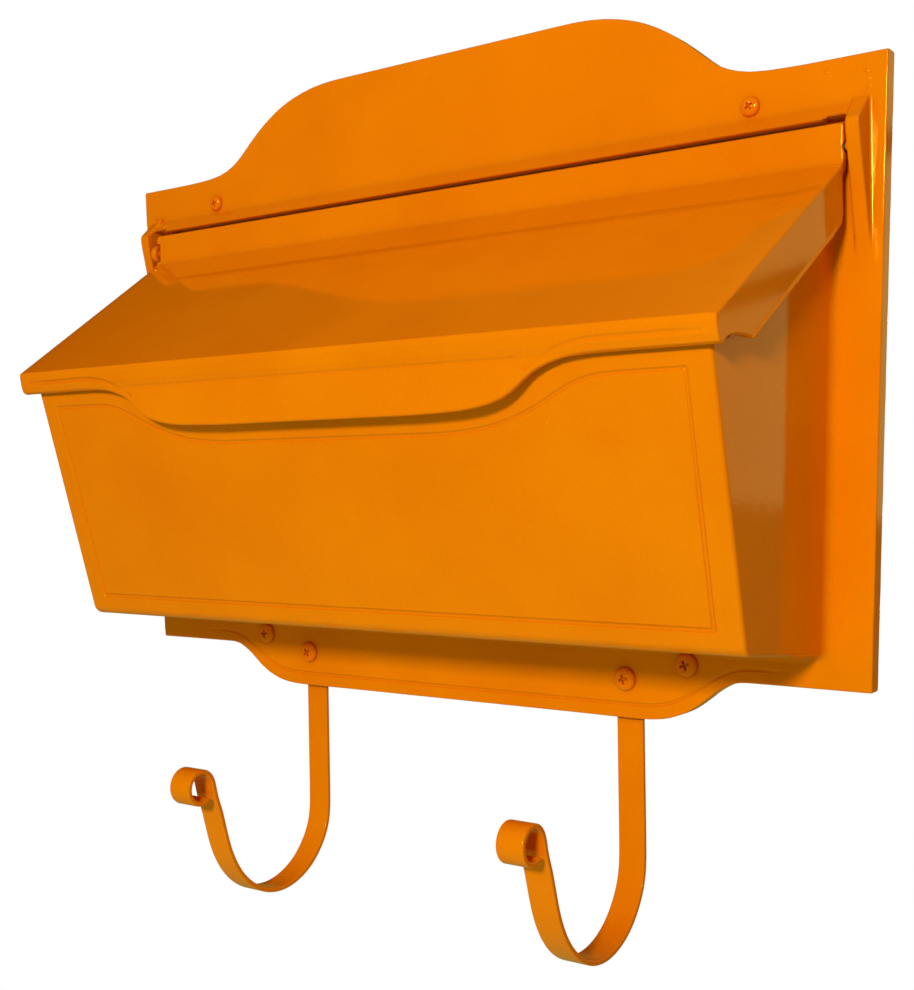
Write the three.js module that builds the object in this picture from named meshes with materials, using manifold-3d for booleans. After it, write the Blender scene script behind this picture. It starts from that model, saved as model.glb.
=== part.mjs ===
// Horizontal wall mailbox: a one-piece cast body (face plate with a tapered
// letter box in front of it), a hinged sloping lid with an ogee pull lip, a
// sheet back panel, two hinge pins, two newspaper hooks and six pan-head screws.
//
// Frame: millimetres, +Z up, +X to the right of somebody facing the box,
// -Y towards that person. The wall plane is Y = 0, and the origin lies on it
// close to the centre of the back panel's rear face.
//
// Every y and z dimension below is in the plate's frame: y from the plate's
// front face (positive towards the wall), z from its shoulder line. toY and
// toZ turn them into the frame above.
import * as THREE from 'three';
import { mergeVertices } from 'three/addons/utils/BufferGeometryUtils.js';
import Module from 'manifold-3d';

// ---------------------------------------------------------------- dimensions
const SHOULDER_Z = 118;        // height of the plate's straight top shoulders
const PLATE_T = 3.7;           // plate casting thickness
const RIM_W = 4.2;             // width of the return rim behind the plate's edge
const RIM_DEPTH = 7;           // plate front face to wall
const PLATE_Y = -RIM_DEPTH;
const PANEL_T = 2;             // back panel sheet
const PANEL_FRONT_Y = RIM_DEPTH - PANEL_T;
const GAP = 0.3;               // working clearance between separate pieces
const BEHIND_Y = RIM_DEPTH + 1; // where cutters end, clear of the wall plane
const ROOT_Y = PLATE_T - 0.5;  // joined parts overlap the plate from here

const PIVOT_Y = -4.2;          // lid hinge axis
const PIVOT_Z = -34.5;
const PIN_R = 2.0;
const BORE_R = PIN_R + 0.08;
const PIN_INNER_X = 174.5;
const HUB_R = 4.2;
const HUB_INNER_X = 174;
const COLLAR_R = 4.6;
const COLLAR_INNER_X = 183.4;

const LID_TOP_Z = -26;         // top of the lid's upright strip
const STRIP_Y = -7;            // front of the upright strip
const STRIP_BACK_Y = STRIP_Y + 3;
const CREASE_Z = -40.4;        // where the slope starts
const LIP_Y = -98.2;           // top edge of the front lip
const LIP_Z = -102;
const LIP_HALF = 177.6;        // lid half width at that edge
const LID_FLARE = 0.0855;      // dx/dy of the lid's ends
const SHEET_T = 3;             // lid wall thickness, square to the slope
const LIP_T = 2.8;
const LIP_LEAN = 0.22;         // -dy/dz of the lip's inner face
const CHEEK_T = 3;
const PULL_Y = -96;            // front of the pull lip
const HOLLOW_LOW_Z = -116;     // the lid's hollow is open below

const EAR_IN = 187.5;          // hinge ears: inner and outer faces
const EAR_OUT = 192;
const SLOT_HALF = 186.8;       // opening in the plate behind the lid's strip
const SLOT_LOW = -47;
const LEDGE_Z = -24.6;         // underside of the drip ledge
const LEDGE_HALF = 178.5;

const WALL = 3;                // letter box walls
const BOX_LEAN = -0.268;       // dy/dz of the letter box front
const BOX_FRONT_Y = -62.9;     // front face at FRONT_REF_Z
const FRONT_REF_Z = -216.3;
const BOX_HALF = 181.04;       // box half width at y = 0, z = 0
const BOX_DRAFT_Y = 0.0505;    // its change with y and with z
const BOX_DRAFT_Z = 0.03576;
const BOX_RIM_Z = -103.6;      // top of the front wall
const FOOT_Z = -213.2;         // where the front face turns under
const INNER_FOOT_Z = -210.5;   // the same turn inside the box
const FLOOR_BACK_Z = -222.9;   // underside of the floor at the plate
const GROOVE_W = 1.0;
const GROOVE_DEPTH = 0.45;

const HOOK_X = 87.1;
const HOOK_W = 12.2;
const HOOK_T = 2.2;
const HOOK_LEG_Y = 5.1;        // centre of the strap's back leg
const HOOK_TOP_Z = -231;
const CURL = { y: -78.3, z: -288.4, radius: 7.4, start: -6, step: 14, steps: 22 }; // degrees

const WALL_HOLE_X = 112;
const WALL_HOLE_ZS = [-70, -146];
const WALL_HOLE_R = 3.5;

const SMALL_SCREW = { headR: 3.9, shankR: 1.95 };
const LARGE_SCREW = { headR: 4.9, shankR: 2.4 };
const SCREW_SEAT = 0.08;       // gap between head and plate
const CAST_HOLE_CLEAR = 0.3;   // radial clearance in the casting
const SHEET_HOLE_CLEAR = 0.12; // radial clearance in the panel and the hooks
const SIDES = [-1, 1];         // left, right
const PANEL_SCREW_LOW = { x: 115.8, z: -229.9 };
const HOOK_SCREW = { x: HOOK_X + 0.5, z: -237.6 };
const SCREWS = [
  { kind: 'panel_screw_top', x: 146.1, z: -12.4, ...SMALL_SCREW },
  { kind: 'panel_screw_bottom', ...PANEL_SCREW_LOW, ...LARGE_SCREW },
  { kind: 'hook_screw', ...HOOK_SCREW, ...LARGE_SCREW },
].flatMap((row) => SIDES.map((side) => ({
  ...row,
  name: `${row.kind}_${side < 0 ? 'left' : 'right'}`,
  x: side * row.x,
  inPanel: row.kind !== 'hook_screw',
})));
const PANEL_SCREWS = SCREWS.filter((screw) => screw.inPanel);

// ---------------------------------------------------------------- outlines
// Right half of the plate's outline, top centre to bottom centre: x, z.
const PLATE_HALF = [
  [62, 36.15], [68, 36.05], [74, 35.7], [80, 34.95], [86, 33.8], [92, 32.2],
  [98, 30.1], [104, 27.3], [110, 23.8], [115, 20.4], [119.5, 16.9], [124, 13.1], [128.5, 9.3],
  [132.5, 6.3], [136.5, 4.15], [141, 2.5], [146, 1.35], [152, 0.65], [160, 0.25], [170, 0],
  [200, 0], [191.1, -235.5], [143, -235.3], [139.5, -235.5], [136, -236.1], [132, -237.8],
  [128, -240.2], [124, -243.3], [120, -246.3], [116, -248.8], [111.5, -250.8], [106.5, -252.4],
  [101, -253.3], [95, -253.7],
];
// Centre line of the groove along the plate's lower edge, right half: x, z.
const LOWER_GROOVE_HALF = [
  [186.3, -229.9], [143, -229.9], [137.5, -230.6], [132.5, -232.3], [127.5, -234.9],
  [122.5, -238.1], [117.5, -241.4], [112, -244.4], [106, -246.6], [99.5, -247.6], [92, -247.9],
];
// Border of the letter box's front field, right half: x, z.
const FIELD_HALF = [
  [58, -136.9], [70, -136.1], [80, -134.8], [89, -132.7], [96.5, -130.3], [103, -127.7],
  [109, -124.9], [115, -122.2], [121, -120.1], [127, -118.9], [134, -118.4], [161.9, -118.3],
  [159.4, -207.3],
];
// Lid's pull lip, right half, lower edge then upper corner: x, z.
const PULL_HALF = [
  [50, -130.1], [68, -129.5], [78, -128.9], [86, -127.8], [93, -125.6], [98.5, -122.3],
  [102, -119.4], [106, -116.9], [111, -114.7], [117, -113.0], [124, -111.9], [132, -111.2],
  [138, -111], [138, -109.5],
];
// Back panel corners: x, z.
const PANEL_CORNERS = [[-182.6, -230.2], [182.6, -230.2], [189.8, -5.2], [-189.8, -5.2]];
// Section of the drip ledge: y, z.
const LEDGE_SECTION = [
  [1, -15.6], [0, -16.2], [-2.2, -17.4], [-8.2, -21.8], [-9, -23.2], [-9, LEDGE_Z], [1, LEDGE_Z],
];
// Side view of a hinge ear: y, z.
const EAR_SECTION = [
  [1, -15.2], [0, -15.4], [-8.6, -23.6], [-9.9, -25.6], [-9.9, -27.6], [0, -69.5], [1, -70.5],
];
// Lid lip and lower edge of the lid's ends, front to back: y, z.
const LID_LOWER_EDGE = [
  [-98.1, -104.5], [-97.3, -108.6], [-96.2, -111.1], [-93.6, -112], [-92.3, -110.4],
  [-90.4, -109.2], [-87.5, -108.5], [-83.5, -108.2], [-79, -108.2], [-75.5, -108.6],
  [-73.3, -108.3], [-13.5, -67.2], [-10, -64.9], [-8, -62.9], [-7.1, -60],
];
// Centre line of the hook's J bend, from the back leg to the curl: y, z.
const HOOK_BEND = [
  [4.9, -315.5], [3.0, -323.0], [-1.2, -330.4], [-7.6, -337.3], [-15.8, -342.2], [-25.4, -344.8],
  [-34.8, -344.4], [-43.4, -341.3], [-51.0, -335.9], [-57.2, -328.4], [-61.6, -319.6],
  [-64.4, -309.8], [-67.2, -300.4], [-69.4, -293.8],
];
// Section of a screw head from the seat to the crown: fractions of radius and height.
const HEAD_PROFILE = [
  [0, 0], [0.94, 0], [1, 0.14], [0.985, 0.36], [0.88, 0.64], [0.7, 0.83], [0.45, 0.95],
  [0.2, 1], [0, 1],
];

// ---------------------------------------------------------------- solids
const wasm = await Module();
wasm.setup();

const toY = (y) => PLATE_Y + y;
const toZ = (z) => SHOULDER_Z + z;

function solid(source) {
  let geometry = source.clone();
  geometry.deleteAttribute('normal');
  geometry.deleteAttribute('uv');
  geometry = mergeVertices(geometry, 1e-5);
  return new wasm.Manifold(new wasm.Mesh({
    numProp: 3,
    vertProperties: Float32Array.from(geometry.attributes.position.array),
    triVerts: Uint32Array.from(geometry.index.array),
  }));
}

function geometryOf(manifold) {
  const mesh = manifold.getMesh();
  const geometry = new THREE.BufferGeometry();
  const positions = Float32Array.from(mesh.vertProperties);
  geometry.setAttribute('position', new THREE.BufferAttribute(positions, 3));
  geometry.setIndex(new THREE.BufferAttribute(Uint32Array.from(mesh.triVerts), 1));
  geometry.computeVertexNormals();
  return geometry;
}

// Prism over a (y, z) outline. Its ends are the surfaces x = leftX(y, z) and
// x = rightX(y, z), which take y and z in the final frame.
function sideSlab(points, leftX, rightX) {
  const outline = points.map(([y, z]) => new THREE.Vector2(toY(y), toZ(z)));
  if (THREE.ShapeUtils.isClockWise(outline)) outline.reverse();
  const count = outline.length;
  const positions = [leftX, rightX].flatMap(
    (endX) => outline.flatMap((p) => [endX(p.x, p.y), p.x, p.y]));
  const indices = [];
  for (const [i, j, k] of THREE.ShapeUtils.triangulateShape(outline, [])) {
    indices.push(i, k, j);
    indices.push(count + i, count + j, count + k);
  }
  for (let i = 0; i < count; i += 1) {
    const j = (i + 1) % count;
    indices.push(i, j, count + j, i, count + j, count + i);
  }
  const geometry = new THREE.BufferGeometry();
  geometry.setAttribute('position', new THREE.Float32BufferAttribute(positions, 3));
  geometry.setIndex(indices);
  return solid(geometry);
}
const straightSlab = (points, x0, x1) => sideSlab(points, () => x0, () => x1);
const centredSlab = (points, halfWidth) => sideSlab(
  points, (y, z) => -halfWidth(y, z), halfWidth);

function extrude(points, depth) {
  const shape = new THREE.Shape(points.map(([x, z]) => new THREE.Vector2(x, z)));
  return new THREE.ExtrudeGeometry(shape, { depth, bevelEnabled: false });
}

// Plate over an (x, z) outline, from depth y0 to y1.
function frontPlate(points, y0, y1) {
  const geometry = extrude(points.map(([x, z]) => [x, toZ(z)]), y1 - y0);
  geometry.rotateX(Math.PI / 2);
  geometry.translate(0, toY(y1), 0);
  return solid(geometry);
}

function block(x0, x1, y0, y1, z0, z1) {
  const geometry = new THREE.BoxGeometry(x1 - x0, y1 - y0, z1 - z0);
  geometry.translate((x0 + x1) / 2, toY((y0 + y1) / 2), toZ((z0 + z1) / 2));
  return solid(geometry);
}

// Cylinder along Y.
function rodY({ x, z }, radius, y0, y1, segments) {
  const geometry = new THREE.CylinderGeometry(radius, radius, y1 - y0, segments);
  geometry.translate(x, toY((y0 + y1) / 2), toZ(z));
  return solid(geometry);
}

// Cylinder along X on the lid's hinge axis.
function hingeRod(x0, x1, radius, segments = 32) {
  const geometry = new THREE.CylinderGeometry(radius, radius, Math.abs(x1 - x0), segments);
  geometry.rotateZ(Math.PI / 2);
  geometry.translate((x0 + x1) / 2, toY(PIVOT_Y), toZ(PIVOT_Z));
  return solid(geometry);
}

// ---------------------------------------------------------------- outline tools
const mirrorHalf = (half) => half.concat(half.map(([x, z]) => [-x, z]).reverse());

// Closed outline moved inwards by distance, with mitred corners.
function inset(points, distance) {
  const count = points.length;
  let area = 0;
  for (let i = 0; i < count; i += 1) {
    const [x0, z0] = points[i];
    const [x1, z1] = points[(i + 1) % count];
    area += x0 * z1 - x1 * z0;
  }
  const turn = area > 0 ? 1 : -1;
  const normal = (from, to) => {
    const dx = to[0] - from[0];
    const dz = to[1] - from[1];
    const length = Math.hypot(dx, dz);
    return [-dz / length * turn, dx / length * turn];
  };
  return points.map((p, i) => {
    const before = normal(points[(i + count - 1) % count], p);
    const after = normal(p, points[(i + 1) % count]);
    const mitre = distance / (1 + before[0] * after[0] + before[1] * after[1]);
    return [p[0] + (before[0] + after[0]) * mitre, p[1] + (before[1] + after[1]) * mitre];
  });
}

// Closed ribbon about an open polyline.
function ribbon(line, width) {
  const edge = (offset) => line.map((p, i) => {
    const before = line[Math.max(0, i - 1)];
    const after = line[Math.min(line.length - 1, i + 1)];
    const du = after[0] - before[0];
    const dv = after[1] - before[1];
    const length = Math.hypot(du, dv);
    return [p[0] - dv / length * offset, p[1] + du / length * offset];
  });
  return edge(width / 2).concat(edge(-width / 2).reverse());
}

// ---------------------------------------------------------------- shared surfaces
// Half widths, from y and z in the final frame.
const boxHalfWidth = (y, z) => (
  BOX_HALF + BOX_DRAFT_Y * (y - PLATE_Y) + BOX_DRAFT_Z * (z - SHOULDER_Z));
const lidHalfWidth = (y) => LIP_HALF + (y - toY(LIP_Y)) * LID_FLARE;

// Lid slope and letter box front, in the plate's frame.
const SLOPE = (CREASE_Z - LIP_Z) / (STRIP_Y - LIP_Y);
const slopeZ = (y) => CREASE_Z + SLOPE * (y - STRIP_Y);
const lidUnderZ = (y) => slopeZ(y) - SHEET_T * Math.hypot(1, SLOPE);
const wallTopZ = (y) => lidUnderZ(y) - 1.0;
const frontY = (z) => BOX_FRONT_Y + BOX_LEAN * (z - FRONT_REF_Z);
const innerFrontY = (z) => frontY(z) + WALL + 0.1;

// ---------------------------------------------------------------- body casting
function rimmedPlate() {
  const outline = mirrorHalf(PLATE_HALF);
  const rim = frontPlate(outline, ROOT_Y, RIM_DEPTH)
    .subtract(frontPlate(inset(outline, RIM_W), PLATE_T - 1, BEHIND_Y));
  return frontPlate(outline, 0, PLATE_T).add(rim);
}

function letterBoxBlock() {
  return centredSlab([
    [ROOT_Y, wallTopZ(0)], [0, wallTopZ(0)], [-90, wallTopZ(-90)],
    [frontY(BOX_RIM_Z) + 1, BOX_RIM_Z], [frontY(BOX_RIM_Z), BOX_RIM_Z - 1],
    [frontY(FOOT_Z), FOOT_Z], [frontY(FOOT_Z) + 1.2, -215.4], [frontY(FOOT_Z) + 3.4, -216.5],
    [0, FLOOR_BACK_Z], [ROOT_Y, FLOOR_BACK_Z],
  ], boxHalfWidth);
}

// Letter space, open towards the wall and under the lid.
function letterSpace() {
  const footY = innerFrontY(INNER_FOOT_Z);
  return centredSlab([
    [BEHIND_Y, LEDGE_Z], [-20, LEDGE_Z], [-70, -60], [innerFrontY(-99), -99],
    [footY, INNER_FOOT_Z], [footY + 1.2, -212.4], [footY + 3.3, -213.5],
    [0, FLOOR_BACK_Z + WALL], [BEHIND_Y, FLOOR_BACK_Z + WALL + 0.2],
  ], (y, z) => boxHalfWidth(y, z) - WALL);
}

// Slot through the plate. Below the box walls' top it is cut only outside the
// box, so the side walls keep their roots.
function lidSlot() {
  const rootTop = wallTopZ(0) + 0.6;
  const rootLow = SLOT_LOW - 3;
  const roots = centredSlab(
    [[-2, rootTop], [PLATE_T, rootTop], [PLATE_T, rootLow], [-2, rootLow]], boxHalfWidth);
  return block(-SLOT_HALF, SLOT_HALF, -0.6, BEHIND_Y, SLOT_LOW, LEDGE_Z).subtract(roots);
}

// Prism on the leaning front face, from below the face to depth - below proud of it.
function onBoxFront(outline, depth, below) {
  const lean = Math.atan(-BOX_LEAN);
  const geometry = extrude(
    outline.map(([x, z]) => [x, (z - FRONT_REF_Z) / Math.cos(lean)]), depth);
  geometry.translate(0, 0, -below);
  geometry.rotateX(Math.PI / 2 + lean);
  geometry.translate(0, toY(BOX_FRONT_Y), toZ(FRONT_REF_Z));
  return solid(geometry);
}

function fieldGroove() {
  const field = mirrorHalf(FIELD_HALF);
  return onBoxFront(inset(field, -GROOVE_W / 2), 1.5, GROOVE_DEPTH)
    .subtract(onBoxFront(inset(field, GROOVE_W / 2), 4, 2));
}

function bodyCasting() {
  let body = rimmedPlate()
    .add(letterBoxBlock())
    .add(straightSlab(LEDGE_SECTION, -LEDGE_HALF, LEDGE_HALF))
    .add(straightSlab(EAR_SECTION, EAR_IN, EAR_OUT))
    .add(straightSlab(EAR_SECTION, -EAR_OUT, -EAR_IN));

  // cast pads that the panel screws pass through
  for (const screw of PANEL_SCREWS) {
    body = body.add(rodY(screw, 6.2, ROOT_Y, PANEL_FRONT_Y - GAP, 28));
  }
  body = body.subtract(letterSpace()).subtract(lidSlot());

  // blind pin bores in the ears
  for (const side of SIDES) {
    body = body.subtract(hingeRod(side * (EAR_IN - 1), side * (EAR_OUT - 1.4), BORE_R));
  }
  for (const screw of SCREWS) {
    body = body.subtract(rodY(screw, screw.shankR + CAST_HOLE_CLEAR, -2, BEHIND_Y, 24));
  }
  // notches where the hook straps leave under the rim
  const notchHalf = HOOK_W / 2 + 0.5;
  for (const side of SIDES) {
    const x = side * HOOK_X;
    body = body.subtract(block(x - notchHalf, x + notchHalf, PLATE_T, BEHIND_Y, -262, -246));
  }
  const lowerGroove = ribbon(mirrorHalf(LOWER_GROOVE_HALF), GROOVE_W);
  return body.subtract(frontPlate(lowerGroove, -1, GROOVE_DEPTH)).subtract(fieldGroove());
}

// ---------------------------------------------------------------- back panel
function backPanel() {
  const cutY = PANEL_FRONT_Y - 1;
  let panel = frontPlate(PANEL_CORNERS, PANEL_FRONT_Y, RIM_DEPTH);
  for (const side of SIDES) {
    // round lug at the lower screw, and a notch around the hook's top
    const lug = { x: side * PANEL_SCREW_LOW.x, z: PANEL_SCREW_LOW.z };
    const x = side * HOOK_X;
    panel = panel.add(rodY(lug, 7, PANEL_FRONT_Y, RIM_DEPTH, 32))
      .subtract(block(x - 8.5, x + 8.5, cutY, BEHIND_Y, -240, -227));
  }
  for (const screw of PANEL_SCREWS) {
    panel = panel.subtract(rodY(screw, screw.shankR + SHEET_HOLE_CLEAR, cutY, BEHIND_Y, 24));
  }
  for (const z of WALL_HOLE_ZS) {
    for (const side of SIDES) {
      const hole = { x: side * WALL_HOLE_X, z };
      panel = panel.subtract(rodY(hole, WALL_HOLE_R, cutY, BEHIND_Y, 28));
    }
  }
  return panel;
}

// ---------------------------------------------------------------- lid
function lidShell() {
  const stripUnderZ = lidUnderZ(STRIP_BACK_Y);
  const outer = centredSlab([
    [STRIP_BACK_Y, LID_TOP_Z], [STRIP_Y, LID_TOP_Z], [STRIP_Y, CREASE_Z], [LIP_Y, LIP_Z],
    ...LID_LOWER_EDGE, [-7.1, stripUnderZ - 3], [STRIP_BACK_Y, stripUnderZ],
  ], lidHalfWidth);

  const lipInnerY = (z) => LIP_Y - (z - LIP_Z) * LIP_LEAN + LIP_T;
  const hollow = centredSlab([
    [STRIP_BACK_Y, stripUnderZ], [lipInnerY(-104), lidUnderZ(lipInnerY(-104))],
    [lipInnerY(-112.5), -112.5], [-93.2, HOLLOW_LOW_Z], [10, HOLLOW_LOW_Z], [10, stripUnderZ],
  ], (y) => lidHalfWidth(y) - CHEEK_T);
  return outer.subtract(hollow);
}

function lid() {
  let shell = lidShell().add(frontPlate(mirrorHalf(PULL_HALF), PULL_Y, PULL_Y + LIP_T));

  // hinge hubs behind the strip's ends, with the pin bores
  const hubOuterX = lidHalfWidth(toY(STRIP_Y)) - 0.2;
  const behindStripFront = block(-200, 200, STRIP_Y, 10, -60, -20);
  for (const side of SIDES) {
    const hub = hingeRod(side * HUB_INNER_X, side * hubOuterX, HUB_R);
    shell = shell.add(hub.intersect(behindStripFront))
      .subtract(hingeRod(side * 172, side * 190, BORE_R));
  }
  // round seat for the collar of the left pin
  return shell.subtract(hingeRod(-190, -(COLLAR_INNER_X - GAP), COLLAR_R + 0.4, 40));
}

// ---------------------------------------------------------------- small pieces
// Only the left pin has a collar.
function hingePin(side) {
  const pin = hingeRod(side * PIN_INNER_X, side * (EAR_OUT - 1.7), PIN_R);
  if (side > 0) return pin;
  return pin.add(hingeRod(-SLOT_HALF + GAP, -COLLAR_INNER_X, COLLAR_R, 40));
}

// Newspaper hook: flat strap, straight back leg, J bend and a curled end.
function hook(side) {
  const line = [HOOK_TOP_Z, -270, -309].map((z) => [HOOK_LEG_Y, z]).concat(HOOK_BEND);
  for (let i = 0; i <= CURL.steps; i += 1) {
    const angle = THREE.MathUtils.degToRad(CURL.start + i * CURL.step);
    line.push([CURL.y + CURL.radius * Math.cos(angle), CURL.z + CURL.radius * Math.sin(angle)]);
  }
  const x = side * HOOK_X;
  const hole = { x: side * HOOK_SCREW.x, z: HOOK_SCREW.z };
  const holeR = LARGE_SCREW.shankR + SHEET_HOLE_CLEAR;
  return straightSlab(ribbon(line, HOOK_T), x - HOOK_W / 2, x + HOOK_W / 2)
    .subtract(rodY(hole, holeR, HOOK_LEG_Y - 3, HOOK_LEG_Y + 3, 24));
}

// Pan-head screw with a cross recess; the head sits just off the plate.
function panHeadScrew({ x, z, headR, shankR, inPanel }) {
  const endY = inPanel ? RIM_DEPTH - 0.4 : HOOK_LEG_Y + HOOK_T / 2 - 0.1;
  const headH = headR * 0.56;
  const profile = HEAD_PROFILE.map(([r, h]) => new THREE.Vector2(headR * r, headH * h));
  const head = new THREE.LatheGeometry(profile, 32);
  head.rotateX(Math.PI);          // the dome faces -Y
  head.translate(x, toY(-SCREW_SEAT), toZ(z));
  let screw = solid(head).add(rodY({ x, z }, shankR, -SCREW_SEAT - 0.4, endY, 24));

  const armLength = headR * 0.52;
  const armHalfWidth = headR * 0.17;
  for (const turn of [0, Math.PI / 2]) {
    const arm = new THREE.BoxGeometry(armLength * 2, headH * 0.62, armHalfWidth * 2);
    arm.rotateY(turn + 0.35);
    arm.translate(x, toY(-SCREW_SEAT - headH * 0.72), toZ(z));
    screw = screw.subtract(solid(arm));
  }
  return screw;
}

// ---------------------------------------------------------------- assembly
const PAINT = { color: 0xf07c00, roughness: 0.3, metalness: 0 };
const PANEL_PAINT = { ...PAINT, roughness: 0.4 };
const LID_PAINT = { ...PAINT, color: 0xe87400 };
const PIN_PAINT = { ...PAINT, color: 0xe07000 };
const SCREW_PAINT = { ...PAINT, color: 0xee7a05 };
const BARE_METAL = { color: 0xc9c9c6, roughness: 0.35, metalness: 0.9 };

const group = new THREE.Group();
function addPiece(name, manifold, finish) {
  const mesh = new THREE.Mesh(geometryOf(manifold), new THREE.MeshStandardMaterial(finish));
  mesh.name = name;
  group.add(mesh);
}
addPiece('body_casting', bodyCasting(), PAINT);
addPiece('back_panel', backPanel(), PANEL_PAINT);
addPiece('lid', lid(), LID_PAINT);
addPiece('hinge_pin_left', hingePin(-1), PIN_PAINT);
addPiece('hinge_pin_right', hingePin(1), BARE_METAL);
addPiece('hook_left', hook(-1), PAINT);
addPiece('hook_right', hook(1), PAINT);
for (const screw of SCREWS) addPiece(screw.name, panHeadScrew(screw), SCREW_PAINT);

export default group;
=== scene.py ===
import math

import bpy
import numpy as np
from mathutils import Matrix, Vector
from mathutils.geometry import tessellate_polygon


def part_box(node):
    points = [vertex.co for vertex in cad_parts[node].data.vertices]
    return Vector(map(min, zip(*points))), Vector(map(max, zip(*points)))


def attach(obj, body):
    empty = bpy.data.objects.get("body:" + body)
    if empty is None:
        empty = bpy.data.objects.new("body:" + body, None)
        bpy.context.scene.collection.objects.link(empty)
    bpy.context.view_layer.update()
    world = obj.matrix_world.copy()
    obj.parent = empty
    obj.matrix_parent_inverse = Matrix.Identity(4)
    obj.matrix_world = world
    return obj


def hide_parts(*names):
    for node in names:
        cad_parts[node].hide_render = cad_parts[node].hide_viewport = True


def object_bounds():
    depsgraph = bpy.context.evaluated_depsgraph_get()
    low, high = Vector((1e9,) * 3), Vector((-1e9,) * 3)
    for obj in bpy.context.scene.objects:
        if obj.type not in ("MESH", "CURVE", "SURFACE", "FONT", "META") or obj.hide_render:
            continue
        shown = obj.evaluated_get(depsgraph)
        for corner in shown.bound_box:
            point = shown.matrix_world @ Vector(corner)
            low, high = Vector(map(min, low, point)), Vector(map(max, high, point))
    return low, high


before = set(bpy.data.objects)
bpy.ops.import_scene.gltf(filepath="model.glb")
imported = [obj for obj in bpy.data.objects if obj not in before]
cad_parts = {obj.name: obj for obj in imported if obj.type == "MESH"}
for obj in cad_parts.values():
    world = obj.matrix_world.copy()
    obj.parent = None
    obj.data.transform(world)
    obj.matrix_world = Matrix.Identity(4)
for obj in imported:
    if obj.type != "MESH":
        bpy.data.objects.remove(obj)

# Wall mailbox, visual model. The shapes are worked out in millimetres in the
# face plate's own frame: y = 0 is the plate's front face (-y towards the
# viewer), z = 0 the straight top shoulders, and to_frame() puts them into the
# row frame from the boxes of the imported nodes.

CAD_LO, CAD_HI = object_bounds()
_blo, _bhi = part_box("body_casting")
RIM_DEPTH = 7.0
CREST = 36.15
OFF_Y = _bhi.y * 1000.0 - RIM_DEPTH
OFF_Z = _bhi.z * 1000.0 - CREST
HALF_W = _bhi.x * 1000.0


def to_frame(p):
    q = np.asarray(p, float).copy()
    q[:, 1] += OFF_Y
    q[:, 2] += OFF_Z
    return q / 1000.0


# ------------------------------------------------------------------ outlines
PLATE_HALF = [
    (0, CREST), (31, CREST), (62, CREST), (68, 36.05), (74, 35.7), (80, 34.95), (86, 33.8), (92, 32.2),
    (98, 30.1), (104, 27.3), (110, 23.8), (115, 20.4), (119.5, 16.9), (124, 13.1), (128.5, 9.3),
    (132.5, 6.3), (136.5, 4.15), (141, 2.5), (146, 1.35), (152, 0.65), (160, 0.25), (170, 0.05),
    (HALF_W, 0), (191.1, -235.5), (160, -235.4), (146, -235.4), (139.5, -235.5), (136, -236.1), (132, -237.8),
    (128, -240.2), (124, -243.3), (120, -246.3), (116, -248.8), (111.5, -250.8), (106.5, -252.4),
    (101, -253.3), (95, -253.7), (60, -253.7), (0, -253.7),
]
PLATE_CORNERS = {0, 22, 23, 38}
LOWER_GROOVE = [
    (186.3, -229.9), (143, -229.9), (137.5, -230.6), (132.5, -232.3), (127.5, -234.9), (122.5, -238.1),
    (117.5, -241.4), (112, -244.4), (106, -246.6), (99.5, -247.6), (92, -247.9), (-5, -247.9),
]
FIELD_HALF = [
    (-5, -136.9), (58, -136.9), (70, -136.1), (80, -134.8), (89, -132.7), (96.5, -130.3), (103, -127.7),
    (109, -124.9), (115, -122.2), (121, -120.1), (127, -118.9), (134, -118.4), (161.9, -118.3),
    (159.4, -207.3), (-5, -207.3),
]
FIELD_CORNERS = {0, 1, 12, 13, 14}
PULL_HALF = [
    (0, -130.1), (50, -130.1), (68, -129.6), (78, -128.9), (86, -127.6), (93, -125.4), (98.5, -122.3),
    (102, -119.6), (106, -116.9), (111, -114.7), (117, -113.0), (124, -111.9), (132, -111.2), (140, -110.9),
]
LIP_GROOVE = [
    (171, -107), (145, -106.9), (131, -106.9), (124, -107.6), (118, -109.0), (112, -111.2), (107.5, -113.2),
    (103, -115.6),
]


def catmull(points, corners=(), step=1.0):
    """Centripetal Catmull-Rom through the points, with straight tangents at corners."""
    p = [np.array(q, float) for q in points]
    out = []
    n = len(p)
    for i in range(n - 1):
        p1, p2 = p[i], p[i + 1]
        p0 = p[i - 1] if i > 0 and i not in corners else p1 - (p2 - p1)
        p3 = p[i + 2] if i + 2 < n and (i + 1) not in corners else p2 + (p2 - p1)
        t0 = 0.0
        t1 = t0 + max(np.linalg.norm(p1 - p0), 1e-6) ** 0.5
        t2 = t1 + max(np.linalg.norm(p2 - p1), 1e-6) ** 0.5
        t3 = t2 + max(np.linalg.norm(p3 - p2), 1e-6) ** 0.5
        k = max(1, int(np.linalg.norm(p2 - p1) / step))
        for j in range(k):
            t = t1 + (t2 - t1) * j / k
            a1 = (t1 - t) / (t1 - t0) * p0 + (t - t0) / (t1 - t0) * p1
            a2 = (t2 - t) / (t2 - t1) * p1 + (t - t1) / (t2 - t1) * p2
            a3 = (t3 - t) / (t3 - t2) * p2 + (t - t2) / (t3 - t2) * p3
            b1 = (t2 - t) / (t2 - t0) * a1 + (t - t0) / (t2 - t0) * a2
            b2 = (t3 - t) / (t3 - t1) * a2 + (t - t1) / (t3 - t1) * a3
            out.append((t2 - t) / (t2 - t1) * b1 + (t - t1) / (t2 - t1) * b2)
    out.append(p[-1])
    return np.array(out)


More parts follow.
